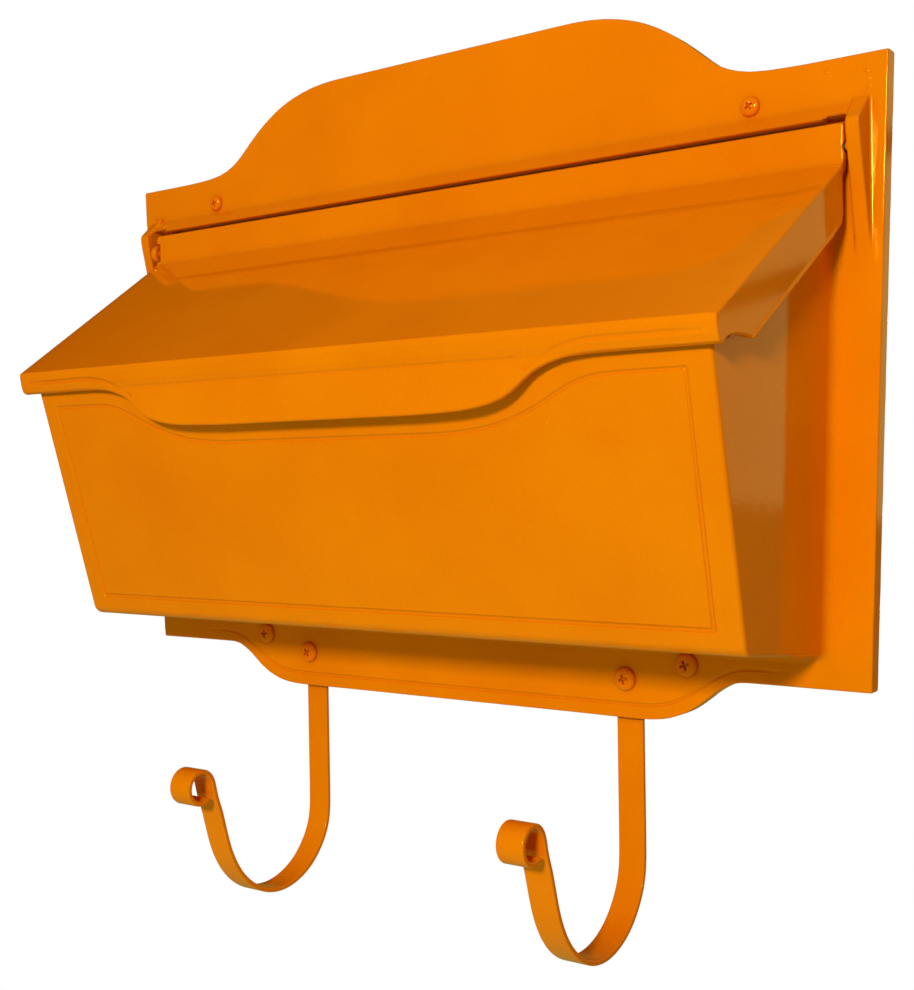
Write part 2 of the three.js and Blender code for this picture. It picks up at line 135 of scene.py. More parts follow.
def fillet_polygon(points, radii, seg=6):
    """Closed polygon with each corner replaced by an arc of the given radius."""
    n = len(points)
    out = []
    for i in range(n):
        p = np.array(points[i], float)
        a = np.array(points[i - 1], float) - p
        b = np.array(points[(i + 1) % n], float) - p
        la, lb = np.linalg.norm(a), np.linalg.norm(b)
        a, b = a / la, b / lb
        r = radii[i] if isinstance(radii, (list, tuple)) else radii
        cosang = float(np.clip(a @ b, -1, 1))
        ang = math.acos(cosang)
        if r <= 0 or ang > math.radians(176):
            out.append(p)
            continue
        t = min(r / math.tan(ang / 2), 0.45 * la, 0.45 * lb)
        r = t * math.tan(ang / 2)
        c = p + (a + b) / np.linalg.norm(a + b) * (r / math.sin(ang / 2))
        s, e = p + a * t - c, p + b * t - c
        w = math.acos(float(np.clip(s @ e / (r * r), -1, 1)))
        for j in range(seg + 1):
            k = j / seg
            out.append(c + (math.sin((1 - k) * w) * s + math.sin(k * w) * e) / math.sin(w) if w > 1e-6 else p)
    return np.array(out)


class Field2:
    """Signed distance to a closed polygon, or distance to an open line, read from a fine grid."""

    def __init__(self, pts, lo, hi, step, closed=True):
        self.lo, self.step = np.array(lo, float), step
        self.n = [int(math.ceil((hi[k] - lo[k]) / step)) + 1 for k in range(2)]
        u = lo[0] + step * np.arange(self.n[0])
        v = lo[1] + step * np.arange(self.n[1])
        U, V = np.meshgrid(u, v, indexing="ij")
        best = np.full(U.shape, 1e9)
        odd = np.zeros(U.shape, bool)
        m = len(pts)
        for i in range(m if closed else m - 1):
            a, b = pts[i], pts[(i + 1) % m]
            d = b - a
            ll = d @ d
            if ll < 1e-12:
                continue
            t = np.clip(((U - a[0]) * d[0] + (V - a[1]) * d[1]) / ll, 0, 1)
            best = np.minimum(best, (U - a[0] - t * d[0]) ** 2 + (V - a[1] - t * d[1]) ** 2)
            if closed and abs(d[1]) > 1e-12:
                crosses = (V >= min(a[1], b[1])) & (V < max(a[1], b[1]))
                odd ^= crosses & (U < a[0] + (V - a[1]) * d[0] / d[1])
        g = np.sqrt(best)
        if closed:
            g = np.where(odd, -g, g)
        self.g = g
        self.g32 = g.astype(np.float32)

    def __call__(self, u, v):
        g = self.g32 if u.dtype == np.float32 else self.g
        a = np.clip((u - self.lo[0]) / self.step, 0, self.n[0] - 1.001)
        b = np.clip((v - self.lo[1]) / self.step, 0, self.n[1] - 1.001)
        i, j = a.astype(np.int32), b.astype(np.int32)
        a = (a - i).astype(u.dtype)
        b = (b - j).astype(u.dtype)
        return (g[i, j] * (1 - a) + g[i + 1, j] * a) * (1 - b) + (g[i, j + 1] * (1 - a) + g[i + 1, j + 1] * a) * b


# ------------------------------------------------------------------ solids
def rint(r, *ds):
    """Intersection with rounded edges."""
    q = ds[0] + r
    m = q
    s = np.square(np.maximum(q, 0))
    for d in ds[1:]:
        e = d + r
        m = np.maximum(m, e)
        s = s + np.square(np.maximum(e, 0))
    return np.sqrt(s) + np.minimum(m, 0) - r


def smin(a, b, k):
    h = np.maximum(k - np.abs(a - b), 0) / k
    return np.minimum(a, b) - h * h * (k * 0.25)


def smax(a, b, k):
    return -smin(-a, -b, k)


def grad(f, p, e):
    g = np.empty_like(p)
    for a in range(3):
        q = p.copy()
        q[:, a] += e
        v1 = f(q[:, 0], q[:, 1], q[:, 2])
        q[:, a] -= 2 * e
        g[:, a] = (v1 - f(q[:, 0], q[:, 1], q[:, 2])) / (2 * e)
    return g


def project(f, p, h, steps=3):
    start = p.copy()
    for _ in range(steps):
        v = f(p[:, 0], p[:, 1], p[:, 2])
        g = grad(f, p, 0.04)
        d = (v / np.maximum((g * g).sum(1), 0.05))[:, None] * g
        p = p - d
        move = p - start
        far = np.linalg.norm(move, axis=1)
        cap = np.minimum(1.0, 0.9 * h / np.maximum(far, 1e-9))
        p = start + move * cap[:, None]
    return p


def surface_nets(f, lo, hi, h):
    lo = np.array(lo, float)
    block = 8
    nb = np.ceil((np.array(hi, float) - lo) / (h * block)).astype(int)
    n = nb * block + 1
    c = [lo[a] + h * block * (np.arange(nb[a]) + 0.5) for a in range(3)]
    cc = np.stack(np.meshgrid(*c, indexing="ij"), -1).reshape(-1, 3)
    f0 = f(cc[:, 0], cc[:, 1], cc[:, 2]).reshape(nb).astype(np.float32)
    vol = np.ones(n, np.float32)
    vol[:-1, :-1, :-1] = f0.repeat(block, 0).repeat(block, 1).repeat(block, 2)
    vol[-1], vol[:, -1], vol[:, :, -1] = vol[-2], vol[:, -2], vol[:, :, -2]
    active = np.argwhere(np.abs(f0) < h * 7.3 + 1.2)
    r = np.arange(block + 1)
    for part in np.array_split(active, max(1, len(active) // 1200)):
        i = (part[:, 0, None] * block + r)[:, :, None, None]
        j = (part[:, 1, None] * block + r)[:, None, :, None]
        k = (part[:, 2, None] * block + r)[:, None, None, :]
        shape = (len(part), block + 1, block + 1, block + 1)
        x = np.broadcast_to(lo[0] + h * i, shape).astype(np.float32).ravel()
        y = np.broadcast_to(lo[1] + h * j, shape).astype(np.float32).ravel()
        z = np.broadcast_to(lo[2] + h * k, shape).astype(np.float32).ravel()
        vol[i, j, k] = f(x, y, z).reshape(shape)
    s = vol < 0
    count = np.zeros(n - 1, np.uint8)
    for a in (0, 1):
        for b in (0, 1):
            for d in (0, 1):
                count += s[a : n[0] - 1 + a, b : n[1] - 1 + b, d : n[2] - 1 + d]
    act = (count > 0) & (count < 8)
    cells = np.argwhere(act)
    ids = np.full(act.shape, -1, np.int32)
    ids[act] = np.arange(len(cells), dtype=np.int32)
    acc = np.zeros((len(cells), 3))
    num = np.zeros(len(cells))
    for axis in range(3):
        u, v = [k for k in range(3) if k != axis]
        for a in (0, 1):
            for b in (0, 1):
                off = np.zeros(3, int)
                off[u], off[v] = a, b
                p0 = cells + off
                p1 = p0.copy()
                p1[:, axis] += 1
                v0 = vol[p0[:, 0], p0[:, 1], p0[:, 2]]
                v1 = vol[p1[:, 0], p1[:, 1], p1[:, 2]]
                cross = (v0 < 0) != (v1 < 0)
                t = np.where(cross, v0 / np.where(cross, v0 - v1, 1), 0)
                for q, w in ((u, a), (v, b)):
                    acc[:, q] += np.where(cross, w, 0)
                acc[:, axis] += np.where(cross, t, 0)
                num += cross
    pos = lo + h * (cells + acc / num[:, None])
    quads = []
    for axis in range(3):
        u, v = (axis + 1) % 3, (axis + 2) % 3
        a = [slice(None)] * 3
        b = [slice(None)] * 3
        a[axis], b[axis] = slice(0, -1), slice(1, None)
        e = np.argwhere(s[tuple(a)] != s[tuple(b)])
        e = e[(e[:, u] >= 1) & (e[:, v] >= 1) & (e[:, u] <= n[u] - 2) & (e[:, v] <= n[v] - 2)]
        inside = s[e[:, 0], e[:, 1], e[:, 2]]

        def cell(du, dv):
            q = e.copy()
            q[:, u] -= du
            q[:, v] -= dv
            return ids[q[:, 0], q[:, 1], q[:, 2]]

        ring = np.stack([cell(1, 1), cell(0, 1), cell(0, 0), cell(1, 0)], 1)
        ring[~inside] = ring[~inside][:, ::-1]
        quads.append(ring)
    return pos, np.concatenate(quads)


def refine(pos, quads, mask):
    """Splits each masked quad three by three and gives its neighbours the matching edge points."""
    edges = np.stack([quads, np.roll(quads, -1, 1)], 2)
    lo_e, hi_e = edges.min(2), edges.max(2)
    key = lo_e.astype(np.int64) * len(pos) + hi_e
    split = np.unique(key[mask].ravel())
    a, b = (split // len(pos)).astype(int), (split % len(pos)).astype(int)
    base = len(pos)
    e1 = pos[a] * (2 / 3) + pos[b] / 3
    e2 = pos[a] / 3 + pos[b] * (2 / 3)
    inner_base = base + 2 * len(split)
    sel = quads[mask]
    c = pos[sel]
    inner = []
    for s, t in ((1 / 3, 1 / 3), (2 / 3, 1 / 3), (2 / 3, 2 / 3), (1 / 3, 2 / 3)):
        inner.append(c[:, 0] * (1 - s) * (1 - t) + c[:, 1] * s * (1 - t) + c[:, 2] * s * t + c[:, 3] * (1 - s) * t)
    new = np.concatenate([pos, np.stack([e1, e2], 1).reshape(-1, 3), np.stack(inner, 1).reshape(-1, 3)])
    where = np.searchsorted(split, key)
    where = np.minimum(where, len(split) - 1)
    has = split[where] == key
    forward = edges[:, :, 0] < edges[:, :, 1]
    first = base + 2 * where + np.where(forward, 0, 1)
    second = base + 2 * where + np.where(forward, 1, 0)
    m = len(sel)
    I = inner_base + 4 * np.arange(m)[:, None] + np.arange(4)
    f, g = first[mask], second[mask]
    q = sel
    small = [
        (q[:, 0], f[:, 0], I[:, 0], g[:, 3]), (f[:, 0], g[:, 0], I[:, 1], I[:, 0]), (g[:, 0], q[:, 1], f[:, 1], I[:, 1]),
        (I[:, 1], f[:, 1], g[:, 1], I[:, 2]), (I[:, 2], g[:, 1], q[:, 2], f[:, 2]), (I[:, 3], I[:, 2], f[:, 2], g[:, 2]),
        (f[:, 3], I[:, 3], g[:, 2], q[:, 3]), (g[:, 3], I[:, 0], I[:, 3], f[:, 3]), (I[:, 0], I[:, 1], I[:, 2], I[:, 3]),
    ]
    fine = np.concatenate([np.stack(t, 1) for t in small])
    rest = ~mask
    plain = rest & ~has.any(1)
    faces = [quads[plain], fine]
    odd = np.nonzero(rest & has.any(1))[0]
    ngons = []
    for k in odd:
        loop = []
        for side in range(4):
            loop.append(int(quads[k, side]))
            if has[k, side]:
                loop += [int(first[k, side]), int(second[k, side])]
        ngons.append(loop)
    return new, np.concatenate(faces), ngons


def make_mesh(name, verts, quads, ngons=()):
    counts = np.concatenate([np.full(len(quads), 4), np.array([len(g) for g in ngons], int)]) if len(ngons) else np.full(len(quads), 4)
    flat = np.concatenate([quads.ravel()] + [np.array(g) for g in ngons]) if len(ngons) else quads.ravel()
    me = bpy.data.meshes.new(name)
    me.vertices.add(len(verts))
    me.vertices.foreach_set("co", np.asarray(verts, np.float32).ravel())
    me.loops.add(len(flat))
    me.loops.foreach_set("vertex_index", flat.astype(np.int32))
    me.polygons.add(len(counts))
    start = np.concatenate([[0], np.cumsum(counts)[:-1]])
    me.polygons.foreach_set("loop_start", start.astype(np.int32))
    me.update(calc_edges=True)
    me.validate()
    return me


def shade_from(me, f, eps):
    """Normals from the surface itself; a face lying in a flat keeps its own normal right up to the rounding."""
    n = len(me.vertices)
    co = np.empty(n * 3, np.float32)
    me.vertices.foreach_get("co", co)
    p = co.reshape(-1, 3).astype(float) * 1000.0
    p[:, 1] -= OFF_Y
    p[:, 2] -= OFF_Z

    def unit(q):
        g = grad(f, q, eps)
        return g / np.maximum(np.linalg.norm(g, axis=1), 1e-9)[:, None]

    g = unit(p)
    loops = np.empty(len(me.loops), np.int32)
    me.loops.foreach_get("vertex_index", loops)
    m = len(me.polygons)
    fn = np.empty(m * 3, np.float32)
    me.polygons.foreach_get("normal", fn)
    fn = fn.reshape(-1, 3)
    mid = np.empty(m * 3, np.float32)
    me.polygons.foreach_get("center", mid)
    mid = mid.reshape(-1, 3).astype(float) * 1000.0
    mid[:, 1] -= OFF_Y
    mid[:, 2] -= OFF_Z
    total = np.empty(m, np.int32)
    me.polygons.foreach_get("loop_total", total)
    of = np.repeat(np.arange(m), total)
    out = g[loops]
    agree = (out * fn[of]).sum(1)
    best = np.maximum.reduceat(agree, np.concatenate([[0], np.cumsum(total)[:-1]]))
    flat = (best > math.cos(math.radians(1.5))) & ((unit(mid) * fn).sum(1) > math.cos(math.radians(1.2)))
    use = flat[of] | (agree < 0.3)
    out = np.where(use[:, None], fn[of], out)
    me.polygons.foreach_set("use_smooth", np.ones(m, bool))
    me.normals_split_custom_set(out.tolist())


def thin_out(me, target):
    """Collapses the flat parts, where triangles cost nothing in shape, down to a triangle budget."""
    have = sum(p.loop_total - 2 for p in me.polygons)
    if have <= target:
        return me
    o = bpy.data.objects.new("work", me)
    bpy.context.scene.collection.objects.link(o)
    d = o.modifiers.new("thin", "DECIMATE")
    d.decimate_type = "COLLAPSE"
    d.ratio = target / have
    dg = bpy.context.evaluated_depsgraph_get()
    out = bpy.data.meshes.new_from_object(o.evaluated_get(dg))
    bpy.data.objects.remove(o)
    bpy.data.meshes.remove(me)
    return out


def sdf_piece(name, f, lo, hi, h, near=None, crease=7.0, faces=150000):
    pos, quads = surface_nets(f, lo, hi, h)
    pos = project(f, pos, h, 3)
    g = grad(f, pos, 0.15)
    g /= np.maximum(np.linalg.norm(g, axis=1), 1e-9)[:, None]
    c = g[quads]
    bend = np.minimum((c[:, 0] * c[:, 2]).sum(1), (c[:, 1] * c[:, 3]).sum(1))
    bend = np.minimum(bend, np.minimum((c[:, 0] * c[:, 1]).sum(1), (c[:, 1] * c[:, 2]).sum(1)))
    mask = bend < math.cos(math.radians(crease))
    if near is not None:
        mid = pos[quads].mean(1)
        mask |= near(mid[:, 0], mid[:, 1], mid[:, 2])
    pos, quads, ngons = refine(pos, quads, mask)
    pos = project(f, pos, h * 0.5, 3)
    me = thin_out(make_mesh(name, to_frame(pos), quads, ngons), faces)
    shade_from(me, f, 0.12)
    return link(name, me)


def link(name, me):
    o = bpy.data.objects.new(name, me)
    bpy.context.scene.collection.objects.link(o)
    return o


# ------------------------------------------------------------------ shared surfaces
STRIP_Y, CREASE_Z, LIP_Y, LIP_Z = -7.0, -40.4, -98.2, -102.0
SLOPE = (CREASE_Z - LIP_Z) / (STRIP_Y - LIP_Y)
COS_SLOPE = 1 / math.hypot(1, SLOPE)
SHEET_V = 3.0 * math.hypot(1, SLOPE)
PIVOT_Y, PIVOT_Z = -4.2, -34.5
LEDGE_Z, LEDGE_HALF = -24.6, 178.5
C_SIDE = 1 / math.sqrt(1 + 0.0505**2 + 0.03576**2)
C_FRONT = 1 / math.hypot(1, 0.268)
SCREWS = [
    ("panel_screw_top_left", -146.1, -12.4, 3.9, 1.95, "panel"),
    ("panel_screw_top_right", 146.1, -12.4, 3.9, 1.95, "panel"),
    ("panel_screw_bottom_left", -115.8, -229.9, 4.9, 2.4, "panel"),
    ("panel_screw_bottom_right", 115.8, -229.9, 4.9, 2.4, "panel"),
    ("hook_screw_left", -87.6, -237.6, 4.9, 2.4, "hook"),
    ("hook_screw_right", 87.6, -237.6, 4.9, 2.4, "hook"),
]


def box_side(ax, y, z):
    return (ax - (181.04 + 0.0505 * y + 0.03576 * z)) * C_SIDE


def box_front(y, z):
    return ((-62.9 - 0.268 * (z + 216.3)) - y) * C_FRONT


def box_floor(y, z):
    return ((-222.9 - 0.1061 * y) - z) * 0.9944


def slope_z(y):
    return CREASE_Z + SLOPE * (y - STRIP_Y)


def lid_x(x, y):
    # the lid hangs a little to the right of centre, by its hinge play
    return 177.6 + (y - LIP_Y) * np.where(x > 0, 0.0845, 0.0680).astype(x.dtype)


plate_curve = catmull(PLATE_HALF, PLATE_CORNERS, 1.0)
plate_poly = np.concatenate([[(-30.0, CREST)], plate_curve, [(-30.0, -253.7)]])
OUTLINE = Field2(plate_poly, (-3, -262), (208, 44), 0.6)
lower_curve = catmull(LOWER_GROOVE, {0, 1, 10, 11}, 1.0)
LOWER = Field2(lower_curve, (-3, -256), (200, -220), 0.4, closed=False)
field_curve = catmull(FIELD_HALF, FIELD_CORNERS, 1.0)
FIELD = Field2(field_curve, (-3, -214), (172, -110), 0.4, closed=False)

PAINT_LUMPS = [
    # x, y, z, radius: runs and beads left by the thick coat
    (191.6, 0.15, -6.6, 0.55), (192.3, 0.15, -9.6, 0.5), (192.5, 0.15, -12.4, 0.55),
    (-191.0, -1.1, -16.8, 1.2), (-186.3, -1.7, -17.2, 1.3), (-186.1, -2.5, -19.4, 1.15), (-180.4, -3.6, -20.8, 1.2),
    (176.5, 0.1, -4.6, 0.6),
]


def body_sdf(x, y, z):
    ax = np.abs(x)
    o = OUTLINE(ax, z)
    slab = rint(0.6, o, -y, y - RIM_DEPTH)
    pocket = rint(0.8, o + 4.2, 3.7 - y)
    d = smax(slab, -pocket, 0.6)

    side, front, floor = box_side(ax, y, z), box_front(y, z), box_floor(y, z)
    outer = rint(1.7, rint(3.2, front, floor), side)
    top = (z - (slope_z(y) - SHEET_V - 1.0)) * COS_SLOPE
    box = rint(0.7, outer, top, y - 4.0)
    d = smin(d, box, 4.2)

    # drip ledge, raised a little at both ends
    ledge = rint(0.45, -7.9 - y, LEDGE_Z - z, -0.684 * y + 0.73 * (z + 16.8), ax - 188.0, y - 3.0)
    step = rint(0.2, np.abs(ax - 182.3) - 4.7, z + 23.2, -27.5 - z, -12.0 - y)
    ledge = np.maximum(ledge, -step)
    d = smin(d, ledge, 1.6)
    # hinge ears
    ear = rint(
        0.9, np.abs(ax - 189.75) - 2.95 - 0.03 * y, -0.69 * y + 0.724 * (z + 15.4),
        -0.973 * (y + 10.6) - 0.230 * (z + 28.2), -10.6 - y, y - 3.0,
    )
    d = smin(d, ear, 1.2)
    for lx, ly, lz, lr in PAINT_LUMPS:
        bead = np.sqrt((x - lx) ** 2 + (y - ly) ** 2 + ((z - lz) * 0.8) ** 2) - lr
        d = smin(d, bead, 0.7 if lx > 0 else 1.3)

    for _, sx, sz, _, _, into in SCREWS:
        if into == "panel":
            pad = rint(0.5, np.sqrt((x - sx) ** 2 + (z - sz) ** 2) - 6.2, y - 4.7, 3.0 - y)
            d = smin(d, pad, 1.0)

    # letter space, open towards the wall and under the lid
    inner = rint(2.0, side + 3.0, front + 2.9, floor + 3.0)
    inner = np.maximum(inner, z - LEDGE_Z)
    slot = rint(0.4, ax - 185.92, -0.6 - y, -47.0 - z, z - LEDGE_Z)
    rr = np.sqrt((y - PIVOT_Y) ** 2 + (z - PIVOT_Z) ** 2)
    swing = np.minimum(np.maximum(rr - 9.65, PIVOT_Z - 0.6 - z), rr - 4.75)
    slot = np.maximum(slot, swing)
    wall = np.maximum(np.abs(side + 1.5) - 1.5, z + 39.7)
    slot = np.maximum(slot, -wall)
    d = smax(d, -inner, 0.5)
    d = smax(d, -slot, 0.4)
    # seat of the right pin, close to the lid's end
    d = np.minimum(d, rint(0.3, rr - 3.0, np.abs(x - 186.75) - 1.3))

    bore = np.maximum(np.sqrt((y - PIVOT_Y) ** 2 + (z - PIVOT_Z) ** 2) - 2.1, ax - 190.6)
    d = np.maximum(d, -np.maximum(bore, 180.0 - ax))
    for _, sx, sz, _, sr, _ in SCREWS:
        d = np.maximum(d, -(np.sqrt((x - sx) ** 2 + (z - sz) ** 2) - sr - 0.3))
    notch = rint(0.4, np.abs(ax - 87.1) - 6.6, 3.7 - y, z + 246.0)
    d = smax(d, -notch, 0.4)

    g1 = np.sqrt(LOWER(ax, z) ** 2 + (y + 0.30 + 0.5 * np.clip((ax - 146.0) / 12.0, 0, 1)) ** 2) - 0.80
    d = smax(d, -g1, 0.3)
    g2 = np.sqrt(FIELD(ax, z) ** 2 + (front - 0.30) ** 2) - 0.80 - 0.16 * np.clip((-150.0 - z) / 10.0, 0, 1)
    d = smax(d, -g2, 0.3)
    return d


def body_near(x, y, z):
    ax = np.abs(x)
    a = (LOWER(ax, z) < 2.0) & (np.abs(y) < 1.2)
    b = (FIELD(ax, z) < 2.0) & (np.abs(box_front(y, z)) < 1.2)
    return a | b


# ------------------------------------------------------------------ lid
LID_OUT = [
    (-4.0, -25.6), (STRIP_Y, -25.6), (STRIP_Y, CREASE_Z), (LIP_Y, LIP_Z), (-98.1, -104.5), (-97.3, -108.6),
    (-96.2, -111.1), (-93.6, -112.0), (-92.3, -110.4), (-90.4, -109.2), (-87.5, -108.5), (-83.5, -108.2),
    (-79.0, -108.2), (-75.5, -108.6), (-73.3, -108.3), (-13.5, -67.2), (-10.0, -64.9), (-8.0, -62.9),
    (-7.1, -60.0), (-7.1, slope_z(-4) - SHEET_V - 3), (-4.0, slope_z(-4) - SHEET_V),
]
LID_R = [0.6, 1.1, 3.5, 0.9, 3, 3, 1.2, 1.2, 1.5, 2, 3, 3, 3, 1.5, 0.8, 5, 3, 3, 3, 0.5, 0.8]


def _lip_in(z):
    return LIP_Y - (z - LIP_Z) * 0.22 + 2.8


LID_IN = [
    (-4.0, slope_z(-4.0) - SHEET_V), (_lip_in(-104), slope_z(_lip_in(-104)) - SHEET_V), (_lip_in(-112.5), -112.5),
    (-93.2, -118.0), (12.0, -118.0), (12.0, slope_z(-4.0) - SHEET_V),
]
LIDP = Field2(fillet_polygon(LID_OUT, LID_R), (-106, -124), (4, -18), 0.35)
LIDH = Field2(fillet_polygon(LID_IN, [0.5, 2.0, 1.0, 0, 0, 0]), (-106, -124), (4, -18), 0.35)
pull_curve = catmull(PULL_HALF, {0, 1}, 0.8)
PULL = Field2(np.concatenate([[(-30.0, -130.1)], pull_curve, [(140.0, -108.6), (-30.0, -108.6)]]), (-3, -136), (150, -100), 0.4)
LIPG = Field2(catmull(LIP_GROOVE, {0}, 0.8), (80, -122), (186, -98), 0.35, closed=False)
LID_SIDE_C = 1 / math.hypot(1, 0.0855)
CHEEK_BEADS = [
    (184.3, -13.6, -65.9, 0.9), (184.0, -16.8, -68.6, 0.8), (184.2, -11.4, -64.4, 0.7), (183.6, -20.4, -71.2, 0.6),
]


def lid_sdf(x, y, z):
    ax = np.abs(x)
    side = (ax - lid_x(x, y)) * LID_SIDE_C
    t = (z - slope_z(y)) * COS_SLOPE
    u = ax - 173.2 - (y + 98) * 0.04
    ramp = 0.5 * (u + np.sqrt(u * u + 0.36)) * 0.055
    prof = smax(LIDP(y, z), np.minimum(t + ramp, -y - 9.0), 0.25)
    outer = rint(0.8, prof, side)
    outer = np.maximum(outer, rint(np.where(x > 0, 1.0, 2.6), side, z + 25.6))
    hollow = rint(1.2, LIDH(y, z), side + 3.0)
    d = smax(outer, -hollow, 0.5)
    pull = rint(1.0, PULL(ax, z), -96.05 - y, y + 93.2)
    d = smin(d, pull, 1.2)
    hub = np.maximum(np.sqrt((y - PIVOT_Y) ** 2 + (z - PIVOT_Z) ** 2) - 4.2, np.maximum(174.0 - ax, side + 0.2))
    hub = np.maximum(hub, -5.9 - y)
    d = smin(d, hub, 0.8)
    for lx, ly, lz, lr in CHEEK_BEADS:
        d = smin(d, np.sqrt((x - lx) ** 2 + (y - ly) ** 2 + (z - lz) ** 2) - lr, 0.6)
    r = np.sqrt((y - PIVOT_Y) ** 2 + (z - PIVOT_Z) ** 2)
    d = np.maximum(d, -np.maximum(r - 2.08, 172.0 - ax))
    d = smax(d, -np.maximum(r - 5.2, x + 181.3), 0.3)
    # bead line near the lip's ends, fading out towards the pull
    fade = np.clip((ax - 107.5) / 6.0, 0, 1) * np.clip((174.0 - ax) / 14.0, 0, 1) * np.where(x > 0, 0.5, 1.0)
    lip = (LIP_Y - (z - LIP_Z) * 0.22 - y) * 0.977
    g = np.sqrt(LIPG(ax, z) ** 2 + (lip - 0.55 - 0.6 * (1 - fade)) ** 2) - 0.80
    d = smax(d, -g, 0.6)
    # faint crease where the pull hangs from the lip
    crease = np.sqrt((z + 111.9) ** 2 + (y + 96.75 + 1.2 * np.clip((ax - 98.0) / 8.0, 0, 1)) ** 2) - 0.85
    d = smax(d, -crease, 0.4)
    # rolled lower edge of the cheeks
    bead = np.sqrt((side + 0.45) ** 2 + ((y + 73.3) * -0.5664 + (z + 108.3) * 0.8241 - 0.75) ** 2) - 0.78
    bead = np.maximum(bead, np.maximum(-74.5 - y, y + 15.0))
    d = smin(d, bead, 0.4)
    return d


def lid_near(x, y, z):
    ax = np.abs(x)
    a = (LIPG(ax, z) < 1.8) & (ax > 100) & (y < -92)
    b = (np.abs(ax - 173.2 - (y + 98) * 0.04) < 1.6) & (np.abs((z - slope_z(y)) * COS_SLOPE) < 1.0)
    return a | b


# ------------------------------------------------------------------ screws
def screw_sdf(head_r, shank_r, end, turn):
    h = head_r * 0.56
    ca, sa = math.cos(turn), math.sin(turn)

    def f(x, y, z):
        u = np.sqrt(x * x + z * z)
        w = -0.08 - y
        p = 2.7
        s = (np.power(u / head_r + 1e-6, p) + np.power(np.maximum(w, 0) / h + 1e-6, p)) ** (1 / p)
        head = (s - 1) * h * 0.9
        head = smax(head, -w, 0.25)
        shank = np.maximum(u - shank_r, np.maximum(-w - 20, y - end))
        shank = np.maximum(shank, w - 0.5)
        d = smin(head, shank, 0.25)
        a = ca * x + sa * z
        b = -sa * x + ca * z
        depth = h - w
        arm = head_r * 0.44 - depth * 0.35
        half = head_r * 0.10 - depth * 0.05
        c1 = np.maximum(np.abs(a) - arm, np.abs(b) - half)
        c2 = np.maximum(np.abs(b) - arm, np.abs(a) - half)
        cross = smin(c1, c2, 0.35)
        cross = np.maximum(cross, depth - h * 0.5)
        return smax(d, -cross, 0.35)

    return f


def small_sdf_piece(name, f, lo, hi, h, at):
    pos, quads = surface_nets(f, lo, hi, h)
    pos = project(f, pos, h, 4)
    keep = pos + np.array([at[0], 0.0, at[1]])
    me = make_mesh(name, to_frame(keep), quads)
    g = grad(f, pos, 0.05)
    g /= np.maximum(np.linalg.norm(g, axis=1), 1e-9)[:, None]
    me.polygons.foreach_set("use_smooth", np.ones(len(me.polygons), bool))
    if len(me.vertices) == len(g):
        me.normals_split_custom_set_from_vertices(g.tolist())
    return link(name, me)


# ------------------------------------------------------------------ swept and turned pieces
def sweep(name, path, normals, profile):
    """Profile points (side, out) carried along a path in the (y, z) plane; x is the strap's width."""
    n, m = len(path), len(profile)
    verts = []
    for (py, pz), (ny, nz) in zip(path, normals):
        for s, t in profile:
            verts.append((s, py + ny * t, pz + nz * t))
    faces = []
    for i in range(n - 1):
        for j in range(m):
            k = (j + 1) % m
            faces.append((i * m + j, i * m + k, (i + 1) * m + k, (i + 1) * m + j))
    return np.array(verts, float), faces, n, m


def rounded_rect(w, t, r, seg=5):
    pts = []
    for cx, cy, a0 in ((w / 2 - r, t / 2 - r, 0), (-w / 2 + r, t / 2 - r, 90), (-w / 2 + r, -t / 2 + r, 180), (w / 2 - r, -t / 2 + r, 270)):
        for i in range(seg + 1):
            a = math.radians(a0 + 90 * i / seg)
            pts.append((cx + r * math.cos(a), cy + r * math.sin(a)))
    return pts


HOOK_X, HOOK_W, HOOK_T = 87.1, 12.2, 2.2
HOOK_BACK = 5.1


def hook_path():
    leg = [(HOOK_BACK, -231.0), (HOOK_BACK, -262.0), (HOOK_BACK, -290.0), (HOOK_BACK, -306.0)]
    bend = [
        (4.75, -315.5), (3.0, -323.0), (-1.2, -330.4), (-7.6, -337.3), (-15.8, -342.2), (-25.4, -344.8),
        (-34.8, -344.4), (-43.4, -341.3), (-51.0, -335.9), (-57.2, -328.4), (-61.6, -319.6), (-64.6, -309.8),
        (-67.2, -300.4),
    ]
    cy, cz, r = -78.3, -288.4, 7.4
    curl = [(-69.6, -294.0)]
    for i in range(1, 24):
        a = math.radians(-6 + i * 13.6)
        curl.append((cy + r * math.cos(a), cz + r * math.sin(a)))
    return catmull(leg + bend + curl, {0}, 0.9)


